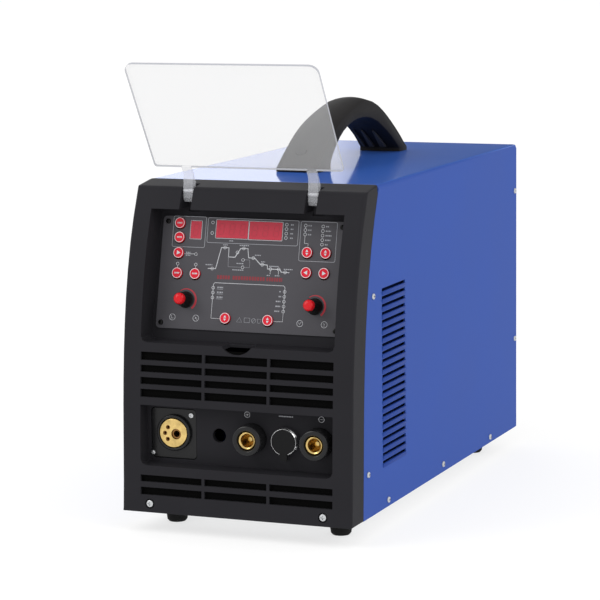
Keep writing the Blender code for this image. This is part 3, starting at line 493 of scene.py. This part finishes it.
bright_screw = machined("bright_screw", (0.58, 0.59, 0.60), roughness=0.26)
side_screw = cross_screw("side_screw", 0.0031)
right_spots = [(0.0633, 0.2365), (0.0458, 0.0641), (0.1021, 0.0274), (0.2692, 0.0290), (0.4286, 0.0270),
               (0.5198, 0.2913), (0.5195, 0.1231)]
for side, label in ((1, "right"), (-1, "left")):
    for i, (depth, height) in enumerate(right_spots):
        spot = (side * (cover_side + 0.0001), front_edge + depth, height)
        piece = placed(side_screw, f"{label}_screw_{i + 1}", facing(spot, (side, 0.0, 0.0)), "case")
        paint(piece, bright_screw)
drop(side_screw)

# ---------------------------------------------------------------- front screws and slot shade
# Two larger screws in counterbores hold the moulding's foot. Behind the air slots lies a black,
# coarse-grained sheet, painted shade in place of the dark inside of the case, which follows the curve of the
# front.
foot_screw = cross_screw("foot_screw", 0.0039)
for side, label in ((-1, "left"), (1, "right")):
    spot = (side * 0.0917, front_edge + 0.0022, 0.0292)
    paint(placed(foot_screw, f"front_screw_{label}", facing(spot, (0.0, -1.0, 0.05)), "case"), bright_screw)
drop(foot_screw)


def front_depth(height):
    """Depth of the leaning front behind its bottom edge, at a height above the floor."""
    rise = (height - 0.0204) / 0.300
    return 0.0157 * rise - 0.0306 * rise ** 2 + 0.0556 * rise ** 3


# Painted shade: near-black sheets behind the air slots, so the slots show dark.
slot_shade_colour = (0.0030, 0.0030, 0.0030)
slot_shade_black = moulded("slot_shade_black", slot_shade_colour, roughness=0.9, grain=0.0012, depth=0.0004, gloss=0.05)
for name, low, high in (("dust_screen_upper", 0.1335, 0.1840), ("dust_screen_lower", 0.0345, 0.0620)):
    bpy.ops.object.select_all(action="DESELECT")
    bpy.ops.mesh.primitive_grid_add(x_subdivisions=4, y_subdivisions=10, size=1.0)
    screen = bpy.context.object
    screen.name = name
    for vertex in screen.data.vertices:
        height = low + (vertex.co.y + 0.5) * (high - low)
        vertex.co = (vertex.co.x * 0.2150, front_edge + front_depth(height) + 0.0036, height)
    thickness = screen.modifiers.new("shade_thickness", "SOLIDIFY")
    thickness.thickness = 0.0012
    thickness.offset = -1.0
    select_only(screen)
    bpy.ops.object.modifier_apply(modifier="shade_thickness")
    paint(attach(screen, "case"), slot_shade_black)

# ---------------------------------------------------------------- handle and feet
# An arch of black plastic with a crowned back, bolted through the cover: a round plug hides its front bolt,
# and ribs stiffen its rear root. Four moulded rubber feet carry the machine.
handle_plastic = moulded("handle_plastic", (0.0135, 0.0125, 0.0130), roughness=0.55, gloss=0.12)
handle = finished("handle_arch", "carry_handle", edge=0.0)
handle_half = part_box("carry_handle")[1].x
handle_foot, handle_rise, handle_middle, narrowing = 0.3473, 0.0620, 0.3090, 0.17
inner_arch, outer_arch, crown, crown_runout = (0.1028, 0.0411), (0.1330, 0.0585), 0.0032, 0.0300
select_only(handle)
pick(handle, "edges", lambda a, b: abs(a.x - b.x) > handle_half)
bpy.ops.mesh.subdivide(number_cuts=7)
bpy.ops.object.mode_set(mode="OBJECT")
for vertex in handle.data.vertices:
    depth, height = vertex.co.y - front_edge - handle_middle, vertex.co.z - handle_foot
    if (depth / inner_arch[0]) ** 2 + (height / inner_arch[1]) ** 2 > 1.1:
        half = handle_half * (1.0 - narrowing * height / handle_rise)
        swell = crown * (1.0 - (vertex.co.x / half) ** 2) * min(1.0, 0.15 + height / crown_runout)
        outward = Vector((0.0, depth / outer_arch[0] ** 2, height / outer_arch[1] ** 2)).normalized()
        vertex.co += swell * outward
paint(handle, handle_plastic)

plug = drawn_up("bolt_plug", [(0.0060, -0.0006), (0.0060, 0.0004), (0.0056, 0.0008)], sides=32)
plug_spot = (-0.0020, front_edge + 0.1880, 0.3628)
plug_plastic = moulded("plug_plastic", (0.0035, 0.0035, 0.0035), roughness=0.60, gloss=0.02)
paint(placed(plug, "handle_plug", facing(plug_spot, (0.0, -0.54, 0.84)), "case"), plug_plastic)
drop(plug)

rib_plastic = moulded("rib_plastic", (0.050, 0.050, 0.052), roughness=0.6, gloss=0.1)
handle_ribs = [(-0.0168, 0.0030), (-0.0075, 0.0060), (0.0055, 0.0070)]
lean_back = Matrix.Rotation(math.radians(58), 4, "X")
for i, (x, width) in enumerate(handle_ribs):
    rib = bar((width, 0.0030, 0.0380))
    pick(rib, "verts", lambda p: p.z > 0)
    bpy.ops.transform.resize(value=(0.2, 1.0, 1.0))
    bpy.ops.object.mode_set(mode="OBJECT")
    spot = Matrix.Translation((x, front_edge + 0.3925, 0.3592)) @ lean_back
    paint(placed(rib, f"handle_rib_{i + 1}", spot, "case"), rib_plastic)
    drop(rib)

foot_rubber = moulded("foot_rubber", (0.010, 0.010, 0.010), roughness=0.75, grain=0.0008)
for corner in ("front_left", "front_right", "rear_left", "rear_right"):
    paint(finished(f"rubber_foot_{corner}", f"foot_{corner}"), foot_rubber)

# ---------------------------------------------------------------- control plate
# A leaning steel plate in the recess, covered by a grey printed film with a satin face. A blackened screw at
# each corner holds it to the moulding.
MM = 0.001
plate_tilt, plate_thick, plate_foot = math.radians(13.1), 0.0012, 0.0535
lean, rise = math.sin(plate_tilt), math.cos(plate_tilt)
plate_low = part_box("control_plate")[0]
zero_height = plate_low.z + plate_foot * rise + plate_thick * lean
plate_zero = Vector((0.0, plate_low.y + plate_foot * lean, zero_height))
on_plate = Matrix.Translation(plate_zero) @ Matrix.Rotation(math.radians(90) - plate_tilt, 4, "X")

film_grey = (0.066, 0.064, 0.072)
plate_film = moulded("plate_film", film_grey, roughness=0.42, grain=0.0003, depth=0.00001, gloss=0.35)
paint(finished("printed_plate", "control_plate", edge=0.0), plate_film)

black_screw_finish = machined("blackened_steel", (0.02, 0.02, 0.02), roughness=0.35)
plate_screw = cross_screw("plate_screw", 0.0026)
for i, (u, v) in enumerate(((-92.5, 52.5), (92.5, 52.5), (-92.5, -48.0), (92.5, -48.0))):
    spot = on_plate @ Matrix.Translation((u * MM, v * MM, 0.0001))
    paint(placed(plate_screw, f"plate_screw_{i + 1}", spot, "case"), black_screw_finish)
drop(plate_screw)

# ---------------------------------------------------------------- print on the control plate
# White, grey and red ink: frames round the groups of keys, the line of the welding cycle, a ring for each
# lamp, scale arcs round the knobs and small symbols. Places are in millimetres on the plate.


def ink(name, colour):
    finish = Finish(name, Specular_IOR_Level=0.3)
    worn = finish.noise(0.0012)
    finish.use(Base_Color=finish.mix(shade(colour, 0.88), colour, worn), Roughness=0.45 + 0.1 * worn)
    return finish


def arc(u, v, radius, start, end, count=16):
    turns = [math.radians(start + (end - start) * i / count) for i in range(count + 1)]
    return [(u + radius * math.cos(a), v + radius * math.sin(a)) for a in turns]


def ring(u, v, radius):
    return arc(u, v, radius, 0.0, 360.0)


def round_frame(u0, v0, u1, v1, radius=1.6):
    left, right, low, high = u0 + radius, u1 - radius, v0 + radius, v1 - radius
    outline = []
    for i, (u, v) in enumerate(((right, high), (left, high), (left, low), (right, low))):
        outline += arc(u, v, radius, 90 * i, 90 * (i + 1), 4)
    return outline + outline[:1]


def inked_lines(name, lines, width, finish, at=on_plate, out=0.0):
    """Printed lines of one width; a line whose ends meet is closed."""
    curve = bpy.data.curves.new(name, "CURVE")
    curve.dimensions = "3D"
    curve.bevel_depth = width * MM / 2
    curve.bevel_resolution = 0
    curve.use_fill_caps = True
    for line in lines:
        closed = line[0] == line[-1] or math.dist(line[0], line[-1]) < 0.01
        points = line[:-1] if closed else line
        spline = curve.splines.new("POLY")
        spline.points.add(len(points) - 1)
        for point, (u, v) in zip(spline.points, points):
            point.co = (u * MM, v * MM, 0.0, 1.0)
        spline.use_cyclic_u = closed
    return inked(name, curve, Matrix.Diagonal((1.0, 1.0, 0.3, 1.0)), finish, "case", at, out)


def inked(name, curve, flatten, finish, body, at, out):
    drawn = bpy.data.objects.new(name, curve)
    bpy.context.scene.collection.objects.link(drawn)
    select_only(drawn)
    bpy.ops.object.convert(target="MESH")
    piece = bpy.context.object
    bpy.ops.object.mode_set(mode="EDIT")
    bpy.ops.mesh.select_all(action="SELECT")
    bpy.ops.mesh.remove_doubles(threshold=0.000001)
    bpy.ops.mesh.normals_make_consistent(inside=False)
    bpy.ops.object.mode_set(mode="OBJECT")
    piece.data.transform(at @ Matrix.Translation((0.0, 0.0, out)) @ flatten)
    return paint(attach(piece, body), finish)


def inked_shapes(name, outlines, finish, body="case", at=on_plate, out=0.0):
    """Printed filled shapes, each a closed outline."""
    curve = bpy.data.curves.new(name, "CURVE")
    curve.dimensions = "2D"
    curve.fill_mode = "BOTH"
    curve.extrude = 0.00005
    for outline in outlines:
        spline = curve.splines.new("POLY")
        spline.points.add(len(outline) - 1)
        for point, (u, v) in zip(spline.points, outline):
            point.co = (u * MM, v * MM, 0.0, 1.0)
        spline.use_cyclic_u = True
    return inked(name, curve, Matrix.Identity(4), finish, body, at, out)


white_ink = ink("white_ink", (0.62, 0.63, 0.66))
grey_ink = ink("grey_ink", (0.36, 0.37, 0.40))
red_ink = ink("red_ink", (0.40, 0.030, 0.045))

group_frames = [round_frame(-86.8, 27.6, -51.7, 58.0), round_frame(-49.5, 32.9, 46.8, 57.5),
                round_frame(49.1, 18.5, 86.9, 57.2)]
inked_lines("group_frames", group_frames, 0.6, grey_ink)

cycle = [(-46.3, 7.3), (-37.9, 7.4), (-33.3, 28.4), (-25.3, 28.5), (-25.0, 19.4), (-18.1, 19.4),
         (-12.6, 28.3), (-5.0, 28.4), (-3.6, 19.4), (3.0, 19.3), (9.2, 13.4), (16.6, 13.1), (17.3, 9.3),
         (30.5, 9.3), (31.8, 6.7), (40.5, 6.6)]
inked_lines("cycle_line", [cycle], 1.0, white_ink)
pulse_frame = [[(-25.1, 18.4), (-24.8, 9.8), (-11.0, 9.8)],
               [(-7.6, 17.3), (-2.3, 17.3), (-2.0, 9.8), (-7.4, 9.8)]]
inked_lines("pulse_lines", pulse_frame, 0.4, grey_ink)
cycle_lamps = [(-41.6, 7.3), (-29.4, 28.5), (-9.3, 28.4), (-15.8, 24.2), (-9.3, 17.0), (-9.2, 9.8),
               (1.4, 19.3), (11.4, 13.2), (20.4, 9.3), (29.0, 9.3), (36.0, 6.7)]
key_lamps = [(-44.4, 52.8), (-44.4, 42.4), (-60.2, 20.8), (-79.1, 10.7), (-59.5, 10.5)]
unit_lamps = [(34.2, 53.3 - 4.35 * i) for i in range(4)]
size_lamps = [(54.0, 53.1 - 4.35 * i) for i in range(3)]
type_lamps = [(72.3, 52.8 - 4.40 * i) for i in range(5)]
arc_lamps = [(-38.9, -11.5 - 4.8 * i) for i in range(3)]
mode_lamps = [(37.1, -12.3 - 4.8 * i) for i in range(5)]
lamps = cycle_lamps + key_lamps + unit_lamps + size_lamps + type_lamps + arc_lamps + mode_lamps
inked_lines("lamp_rings", [ring(u, v, 1.45) for u, v in lamps], 0.5, white_ink, out=0.00012)

links = [[(-73.0, 20.9), (-61.8, 20.9)], [(-79.1, 9.2), (-79.1, 6.4)], [(-59.5, 9.0), (-59.5, 6.4)],
         [(54.0, 43.0), (54.0, 35.6), (57.8, 35.6), (57.8, 32.6)],
         [(20.4, 7.8), (20.4, 4.2)], [(29.0, 7.8), (29.0, 4.2)]]
links += [[(u, v - 1.5), (u, v - 2.85)] for u, v in size_lamps[:-1]]
inked_lines("lamp_links", links, 0.6, white_ink)
low_frame = [(-29.2, -41.6), (-38.9, -41.6), (-38.9, -8.0), (-37.4, -6.5), (35.6, -6.5), (37.1, -8.0),
             (37.1, -41.6), (27.4, -41.6)]
inked_lines("mode_frame", [low_frame], 0.6, white_ink)

knob_spots = ((-67.0, -24.7), (69.9, -25.3))
crescents = []
for u, v in knob_spots:
    crescents.append(arc(u, v, 11.4, 128, -52, 28) + arc(u - 0.6, v + 0.3, 10.0, -50, 126, 28))
inked_shapes("knob_scales", crescents, red_ink, out=0.00006)

symbol_rings = [ring(u, -42.3, 3.1) for u in (-80.6, -55.2, 55.2, 80.6)]
symbol_lines = [[(-81.6, -40.6), (-81.6, -43.4), (-79.2, -43.4)], [(-56.4, -40.8), (-54.0, -43.6)],
                [(54.0, -41.4), (55.0, -43.4), (56.6, -40.8)], [(79.6, -41.0), (80.6, -42.6), (81.6, -41.0)],
                [(80.6, -42.6), (80.6, -44.0)], [(-56.2, -43.2), (-54.6, -41.4)]]
inked_lines("scale_symbols", symbol_rings + symbol_lines, 0.45, white_ink)


def caption(u, v, *widths, tall=1.25, gap=0.55):
    """Row of small blocks in place of a word, starting at (u, v)."""
    low, high = v - tall / 2, v + tall / 2
    blocks = []
    for width in widths:
        blocks.append([(u, low), (u + width, low), (u + width, high), (u, high)])
        u += width + gap
    return blocks


words = []
for u, v in unit_lamps:
    words += caption(u + 4.4, v, 1.3, 0.8)
for u, v in size_lamps:
    words += caption(u + 2.9, v, 0.9, 0.4, 0.9)
type_words = ((1.2, 1.0), (1.2, 0.8, 1.1, 0.5), (1.2, 0.8, 1.5, 1.0), (1.1, 0.8, 1.2, 0.6), (1.2, 1.0))
for (u, v), widths in zip(type_lamps, type_words):
    words += caption(u + 3.0, v, *widths)
for u, v in arc_lamps:
    words += caption(u + 4.4, v + 0.6, 1.4, 0.5, 1.6, 1.0)
    words += caption(u + 4.0, v - 1.1, 6.6, tall=0.35)
mode_words = ((5.6, 1.3), (6.0, 1.2, 0.9), (8.6, 1.6, 1.2, 0.9), (8.6, 1.6, 1.3, 1.0), (9.4, 1.5, 1.3, 1.2))
for (u, v), (back, *widths) in zip(mode_lamps, mode_words):
    words += caption(u - back, v, *widths)
inked_shapes("lamp_captions", words, grey_ink)

cycle_words = (
    (-31.6, 31.2, 1.2, 1.0, 1.4), (-14.0, 31.2, 1.6, 1.4, 1.8, 1.5, 1.4), (-49.0, 11.0, 1.6, 1.4, 1.8, 0.8),
    (2.9, 22.2, 1.3, 1.0, 1.4, 0.9), (10.0, 16.0, 1.2, 1.2, 0.6), (18.8, 12.0, 1.6, 1.5, 1.7, 1.4, 1.4),
    (34.4, 9.6, 1.6, 1.4, 1.5, 1.6, 0.9), (17.0, 3.0, 1.5, 1.0), (25.4, 3.0, 1.5, 1.2, 1.0),
    (-16.0, 13.4, 1.6, 1.2, 1.0, 1.7), (-20.0, 7.0, 1.6, 1.4, 1.2, 1.8, 1.6, 1.4), (-25.4, 35.3, 1.6, 1.8),
    (-71.0, 22.3, 1.4, 1.2, 1.0), (-71.0, 19.4, 1.4, 1.2, 1.0),
)
small_words = []
for word in cycle_words:
    small_words += caption(*word, tall=0.9)
inked_shapes("cycle_captions", small_words, grey_ink)

title = []
for word in ((-35.6, 1.9, 2.4, 1.8, 2.0, 2.2), (-19.0, *(2.1,) * 12), (17.0, *(1.8,) * 6, 0.9)):
    title += caption(word[0], -0.8, *word[1:], tall=3.8, gap=0.8)
inked_shapes("title_blocks", title, ink("dim_red_ink", (0.22, 0.024, 0.034)))

low_marks = [[(-11.5, -44.0), (-5.7, -44.0), (-8.6, -39.4), (-11.5, -44.0)],
             [(-3.4, -44.0), (2.4, -44.0), (2.4, -39.6), (-3.4, -39.6), (-3.4, -44.0)],
             ring(6.6, -42.0, 2.2), [(5.1, -43.5), (8.1, -40.5)],
             [(10.2, -40.2), (14.4, -40.2), (13.5, -44.0), (11.1, -44.0), (10.2, -40.2)]]
inked_lines("low_marks", low_marks, 0.45, grey_ink)

# ---------------------------------------------------------------- keys
# Round red keys with a moulded white rim and a white printed symbol, each dished for the fingertip. Their
# stems stand in holes of the plate, on the switches of the board behind it.


def key_symbols():
    """Filled symbols on the keys, in millimetres from the key's centre."""
    up = [(-1.5, 0.5), (1.5, 0.5), (0.0, 2.9)]
    down = [(-1.5, -0.5), (0.0, -2.9), (1.5, -0.5)]
    right = [(-1.5, -2.1), (2.3, 0.0), (-1.5, 2.1)]
    left = [(1.5, -2.1), (1.5, 2.1), (-2.3, 0.0)]
    strip = [[(u, -0.75), (u + 0.9, -0.75), (u + 0.9, 0.75), (u, 0.75)] for u in (-2.55, -1.15, 0.25, 1.65)]
    return {"load": strip, "save": strip, "gas_test": strip, "trigger_mode": strip, "wire_jog": [right],
            "wire_size": [up, down], "wire_type": [up, down], "back": [left], "next": [right],
            "process": [up, down], "cooling": [up, down]}


key_red = moulded("key_red", (0.60, 0.012, 0.030), roughness=0.34, grain=0.0004, depth=0.00001, gloss=0.4)
key_rim = ink("key_rim", (0.74, 0.66, 0.68))
key_rings = [(0.0052, -0.0010), (0.0054, -0.0008), (0.0054, 0.0015), (0.0052, 0.0019), (0.00462, 0.0019),
             (0.0044, 0.0017), (0.0025, 0.0016)]
key = drawn_up("key", key_rings, sides=40)
for face in key.data.polygons:
    edge_out = math.hypot(face.center.x, face.center.y)
    face.material_index = 1 if face.normal.z > 0.5 and edge_out > 0.0046 else 0
for name, shapes in key_symbols().items():
    low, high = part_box(f"{name}_button")
    stem = (low + high) / 2
    u = stem.x
    v = (stem.z - plate_zero.z) * rise + (stem.y - plate_zero.y) * lean
    spot = on_plate @ Matrix.Translation((u, v, 0.0))
    piece = placed(key, f"{name}_key", spot, f"{name}_button")
    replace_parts(paint(piece, key_red, key_rim), f"{name}_button")
    inked_shapes(f"{name}_symbol", shapes, white_ink, f"{name}_button", spot, out=0.0017)
drop(key)

# ---------------------------------------------------------------- displays
# Dark red filter windows over seven-segment figures, which show faintly when they are unlit, each window in
# a printed white frame.
filter_red = (0.46, 0.038, 0.062)
window_red = moulded("window_red", filter_red, roughness=0.22, grain=0.0009, depth=0.000002, gloss=0.5)
segment_red = ink("segment_red", (0.37, 0.026, 0.044))
windows = {"program_display": (-67.6, 36.3, -56.3, 53.5, 1), "current_display": (-40.2, 38.0, -6.4, 55.3, 3),
           "voltage_display": (-4.8, 37.7, 29.7, 55.1, 3)}


def figure(u, v, wide, tall, stroke):
    """Outlines of the seven bars of one figure about its centre, leaning a little to the right."""
    half, quarter = wide / 2, tall / 4
    bars = [(u - half, v + k * 2 * quarter, u + half, v + k * 2 * quarter) for k in (-1, 0, 1)]
    bars += [(u + i * half, v + j * quarter - quarter, u + i * half, v + j * quarter + quarter)
             for i in (-1, 1) for j in (-1, 1)]
    outlines = []
    for u0, v0, u1, v1 in bars:
        flat = v0 == v1
        du, dv = (-0.6, stroke / 2) if flat else (stroke / 2, -0.6)
        box = [(u0 - du, v0 - dv), (u1 + du, v0 - dv), (u1 + du, v1 + dv), (u0 - du, v1 + dv)]
        outlines.append([(a + 0.10 * (b - v), b) for a, b in box])
    return outlines


display_frames = []
for name, (u0, v0, u1, v1, figures) in windows.items():
    paint(nodes[name], window_red)
    display_frames.append(round_frame(u0 - 0.5, v0 - 0.5, u1 + 0.5, v1 + 0.5, 0.5))
    step = (u1 - u0) / figures
    bars = []
    for i in range(figures):
        bars += figure(u0 + step * (i + 0.5), (v0 + v1) / 2, min(step * 0.46, 5.2), 11.0, 0.7)
    inked_shapes(f"{name}_figures", bars, segment_red, out=0.00022)
inked_lines("display_frames", display_frames, 0.55, white_ink)

# ---------------------------------------------------------------- control knobs
# Black fluted knobs of hard plastic on the shafts behind the plate, turning over a printed scale. Each has
# a domed, glossy red cap pressed into its top.
knob_black = moulded("knob_black", (0.0050, 0.0050, 0.0050), roughness=0.35, gloss=0.4)
cap_red = moulded("cap_red", (0.56, 0.006, 0.012), roughness=0.16, depth=0.000002, gloss=0.6)
grip_rings = [(0.0082, 0.0004), (0.0082, 0.0014), (0.0074, 0.0020), (0.0071, 0.0030), (0.0067, 0.0138),
              (0.0062, 0.0145), (0.0055, 0.0145)]
grip_sides = 48
grip = drawn_up("grip", grip_rings, sides=grip_sides)


def in_flute(point):
    step = round(math.atan2(point.y, point.x) * grip_sides / math.tau)
    return 0.0025 < point.z < 0.0142 and step % 4 in (0, 1)


pick(grip, "verts", in_flute)
bpy.ops.transform.resize(value=(0.94, 0.94, 1.0), center_override=(0.0, 0.0, 0.0085))
bpy.ops.object.mode_set(mode="OBJECT")
cap_rings = [(0.0050, 0.0138), (0.0056, 0.0145), (0.0057, 0.0165), (0.0055, 0.0180), (0.0049, 0.0192),
             (0.0039, 0.0200), (0.0026, 0.0204), (0.0010, 0.0205)]
cap = drawn_up("cap", cap_rings, sides=40)
for side, (u, v) in (("left", (-0.0670, -0.0247)), ("right", (0.0699, -0.0253))):
    spot = on_plate @ Matrix.Translation((u, v, 0.0))
    piece = paint(placed(grip, f"{side}_knob_grip", spot, f"{side}_knob"), knob_black)
    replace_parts(piece, f"{side}_knob")
    paint(placed(cap, f"{side}_knob_cap", spot, f"{side}_knob"), cap_red)
drop(grip, cap)

# ---------------------------------------------------------------- torch connector
# A brass body in a round black collar on a square plate: the central bore takes the torch's wire and gas
# tube, and sprung sleeves in the three small holes take its contact pins.
socket_black = moulded("socket_black", (0.0100, 0.0100, 0.0108), roughness=0.20, grain=0.0012, gloss=0.6)
connector_brass = machined("connector_brass", (0.74, 0.53, 0.20), roughness=0.20, tones=(0.45, 1.30))
dark_brass = machined("dark_brass", (0.26, 0.13, 0.045), roughness=0.35)
for name, node in (("torch_plate", "euro_plate"), ("torch_collar", "euro_collar")):
    paint(finished(name, node, edge=0.0009, segments=3), socket_black)
paint(finished("torch_body", "euro_body", edge=0.0003), connector_brass)


def sleeve(name, outer, inner, length, sides=24):
    """Short open tube standing on its end."""
    tube = drawn_up(name, [(outer, 0.0), (outer, length * 0.94), (outer * 0.96, length)], sides=sides)
    bpy.ops.object.select_all(action="DESELECT")
    bpy.ops.mesh.primitive_cylinder_add(vertices=sides, radius=inner, depth=length * 3)
    carved(tube, bpy.context.object)
    bpy.ops.object.shade_smooth_by_angle(angle=smooth_angle)
    return tube


to_front = (0.0, -1.0, 0.0)
socket_height, torch_x, torch_face = 0.0984, -0.0723, front_edge + 0.0162
pin_sleeve = sleeve("pin_sleeve", 0.00212, 0.0014, 0.0090)
for i, (x, z) in enumerate(((-0.0053, 0.0056), (-0.0086, -0.0003), (-0.0057, -0.0062))):
    spot = (torch_x + x, torch_face + 0.0098, socket_height + z)
    paint(placed(pin_sleeve, f"pin_sleeve_{i + 1}", facing(spot, to_front), "case"), dark_brass)
bore_sleeve = sleeve("bore_sleeve", 0.0050, 0.0033, 0.0120)
spot = (torch_x + 0.0034, torch_face + 0.0135, socket_height - 0.0008)
paint(placed(bore_sleeve, "wire_tube", facing(spot, to_front), "case"), dark_brass)
drop(pin_sleeve, bore_sleeve)

torch_screw = cross_screw("torch_screw", 0.0027)
for i, (x, z) in enumerate(((-0.0539, 0.1165), (-0.0961, 0.0767))):
    spot = (x, front_edge + 0.0206, z)
    paint(placed(torch_screw, f"torch_screw_{i + 1}", facing(spot, to_front), "case"), bright_screw)
drop(torch_screw)

# ---------------------------------------------------------------- current and remote sockets
# Two quick-fit current sockets, each a brass bush in a black collar, their poles marked above; between them
# the remote control's chrome socket under a black flip cap.
for pole in ("plus", "minus"):
    collar = finished(f"{pole}_collar", f"{pole}_socket_collar", edge=0.0012, segments=3)
    paint(collar, socket_black)
    paint(finished(f"{pole}_bush", f"{pole}_socket_bush", edge=0.0003), connector_brass)
contact = drawn_up("contact", [(0.0030, 0.0), (0.0030, 0.0200), (0.0026, 0.0212), (0.0014, 0.0216)], sides=6)
for pole, x in (("plus", 0.0116), ("minus", 0.0817)):
    spot = facing((x, front_edge + 0.0345, socket_height), to_front)
    paint(placed(contact, f"{pole}_contact", spot, "case"), connector_brass)
drop(contact)

remote_x, floor_of_ports = 0.0479, front_edge + 0.0198
chrome = machined("chrome_plate", (0.88, 0.88, 0.89), roughness=0.10)
paint(finished("remote_socket", "remote_shell", edge=0.0003), chrome)
cap_black = moulded("cap_black", (0.0075, 0.0075, 0.0080), roughness=0.4)
paint(finished("flip_cap", "remote_cap", edge=0.0004), cap_black)
bezel = sleeve("bezel", 0.0134, 0.0127, 0.0098, sides=64)
carved(bezel, bar((0.0084, 0.0100, 0.0400), (0.0, -0.0130, 0.0)))
spot = facing((remote_x, floor_of_ports, socket_height), to_front)
paint(placed(bezel, "remote_bezel", spot, "case"), chrome)
drop(bezel)

port_face = Matrix.Translation((0.0, floor_of_ports, 0.0)) @ Matrix.Rotation(math.radians(90), 4, "X")
pole_marks = [ring(6.1, 121.2, 2.8), [(4.6, 121.2), (7.6, 121.2)], [(6.1, 119.7), (6.1, 122.7)],
              ring(83.9, 121.2, 2.8), [(82.4, 121.2), (85.4, 121.2)]]
inked_lines("pole_marks", pole_marks, 0.55, white_ink, at=port_face)
inked_shapes("remote_caption", caption(39.5, 121.8, *(1.1,) * 9, tall=1.1, gap=0.6), grey_ink, at=port_face)

# ---------------------------------------------------------------- clear lid
# A flame-polished sheet of clear acrylic with two cranked arms, which swings down over the controls on a
# steel rod. Its faces are drawn as a thin whitish veil, a painted reflection, and its cut edges as a denser
# grey veil, painted shade along the edges.


def clear_sheet(name, veil, colour, roughness=0.05):
    finish = Finish(name, Alpha=veil)
    haze = finish.noise(0.05)
    finish.use(Base_Color=finish.mix(shade(colour, 0.97), colour, haze), Roughness=roughness + 0.02 * haze)
    return finish


# Painted reflection and shade: whitish part-see-through faces and arms, and denser grey cut edges.
lid_face = clear_sheet("lid_face", 0.19, (0.72, 0.72, 0.73))
lid_edge = clear_sheet("lid_edge", 0.80, (0.34, 0.35, 0.39), roughness=0.15)
lid_arm = clear_sheet("lid_arm", 0.30, (0.66, 0.67, 0.71), roughness=0.03)
lid = finished("acrylic_lid", "clear_lid", edge=0.0003)
paint(lid, lid_face, lid_edge, lid_arm)
sheet_lean, arms_top = math.radians(32.6), 0.3585
sheet_normal = Vector((0.0, -math.cos(sheet_lean), -math.sin(sheet_lean)))
for face in lid.data.polygons:
    if face.center.z < arms_top:
        face.material_index = 2
    else:
        face.material_index = 0 if abs(face.normal.dot(sheet_normal)) > 0.9 else 1

# ---------------------------------------------------------------- rear wall
# Black panel with the fan's grille, the mains gland, the gas inlet and the rocker switch, held by six screws
# above a sill that closes the gap over the base pan. Two blackened pins hinge the side door.
paint(finished("rear_wall", "rear_panel", edge=0.0003), front_plastic)
rear_pieces = {"cable_gland": "mains_gland", "switch_frame": "switch_body", "rocker": "switch_rocker"}
for name, node in rear_pieces.items():
    paint(finished(name, node, edge=0.0003), socket_black)
paint(finished("gas_fitting", "gas_inlet", edge=0.0002), connector_brass)

rear_low, rear_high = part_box("rear_panel")
rear_screw = cross_screw("rear_screw", 0.0031)
rear_spots = [(side * 0.1080, height) for side in (-1, 1) for height in (0.0450, 0.1750, 0.3150)]
for i, (x, height) in enumerate(rear_spots):
    spot = facing((x, rear_high.y + 0.0001, height), (0.0, 1.0, 0.0))
    paint(placed(rear_screw, f"rear_screw_{i + 1}", spot, "case"), bright_screw)
drop(rear_screw)
sill = bar((0.2340, 0.0012, 0.0120), (0.0, rear_high.y - 0.0012, rear_low.z - 0.0065))
sill.name = "rear_sill"
paint(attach(sill, "case"), front_plastic)

pin_rings = [(0.0018, 0.0), (0.0024, 0.0006), (0.0024, 0.0294), (0.0018, 0.0300)]
hinge_pin = drawn_up("hinge_pin", pin_rings, sides=20)
door_axis = (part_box("wire_door")[0].x, front_edge + 0.4994)
for i, height in enumerate((0.0700, 0.2500)):
    spot = Matrix.Translation((*door_axis, height))
    paint(placed(hinge_pin, f"door_hinge_{i + 1}", spot, "case"), black_screw_finish)
drop(hinge_pin)

# ---------------------------------------------------------------- fan, boards and power parts
# The parts inside the right half: the cooling fan in black plastic, green circuit boards, a milled aluminium
# heatsink, and the lacquered core of the transformer. They are screwed to the partition and the pan.
for name in ("fan_frame", "fan_rotor"):
    paint(nodes[name], socket_black)
board_green = moulded("board_green", (0.016, 0.130, 0.055), roughness=0.4, grain=0.0010, depth=0.00002)
for name in ("control_board", "power_board"):
    paint(nodes[name], board_green)
cast_grey = moulded("lacquered_core", (0.09, 0.09, 0.10), roughness=0.6, grain=0.0012, depth=0.00006)
for name in ("feed_motor", "transformer_core"):
    paint(nodes[name], cast_grey)
milled = machined("milled_aluminium", (0.74, 0.75, 0.77), roughness=0.33)
for name in ("heatsink", "feeder_plate", "pressure_arm"):
    paint(nodes[name], milled)

# ---------------------------------------------------------------- wire reel and feeder
# The reel of copper-coated wire on its spindle, and the driven and pressure rolls that push the wire out
# through the torch connector.
reel_plastic = moulded("reel_plastic", (0.020, 0.021, 0.023), roughness=0.5, grain=0.0010)
for name in ("wire_reel", "spool_spindle"):
    paint(nodes[name], reel_plastic)
wound_wire = machined("wound_wire", (0.72, 0.33, 0.16), roughness=0.30, size=0.0010)
paint(nodes["wire_coil"], wound_wire)
for name in ("drive_roll", "pressure_roll"):
    paint(nodes[name], bright_screw)
paint(nodes["outlet_guide"], connector_brass)
paint(nodes["tension_knob"], knob_black)
paint(finished("latch", "door_latch", edge=0.0004), socket_black)
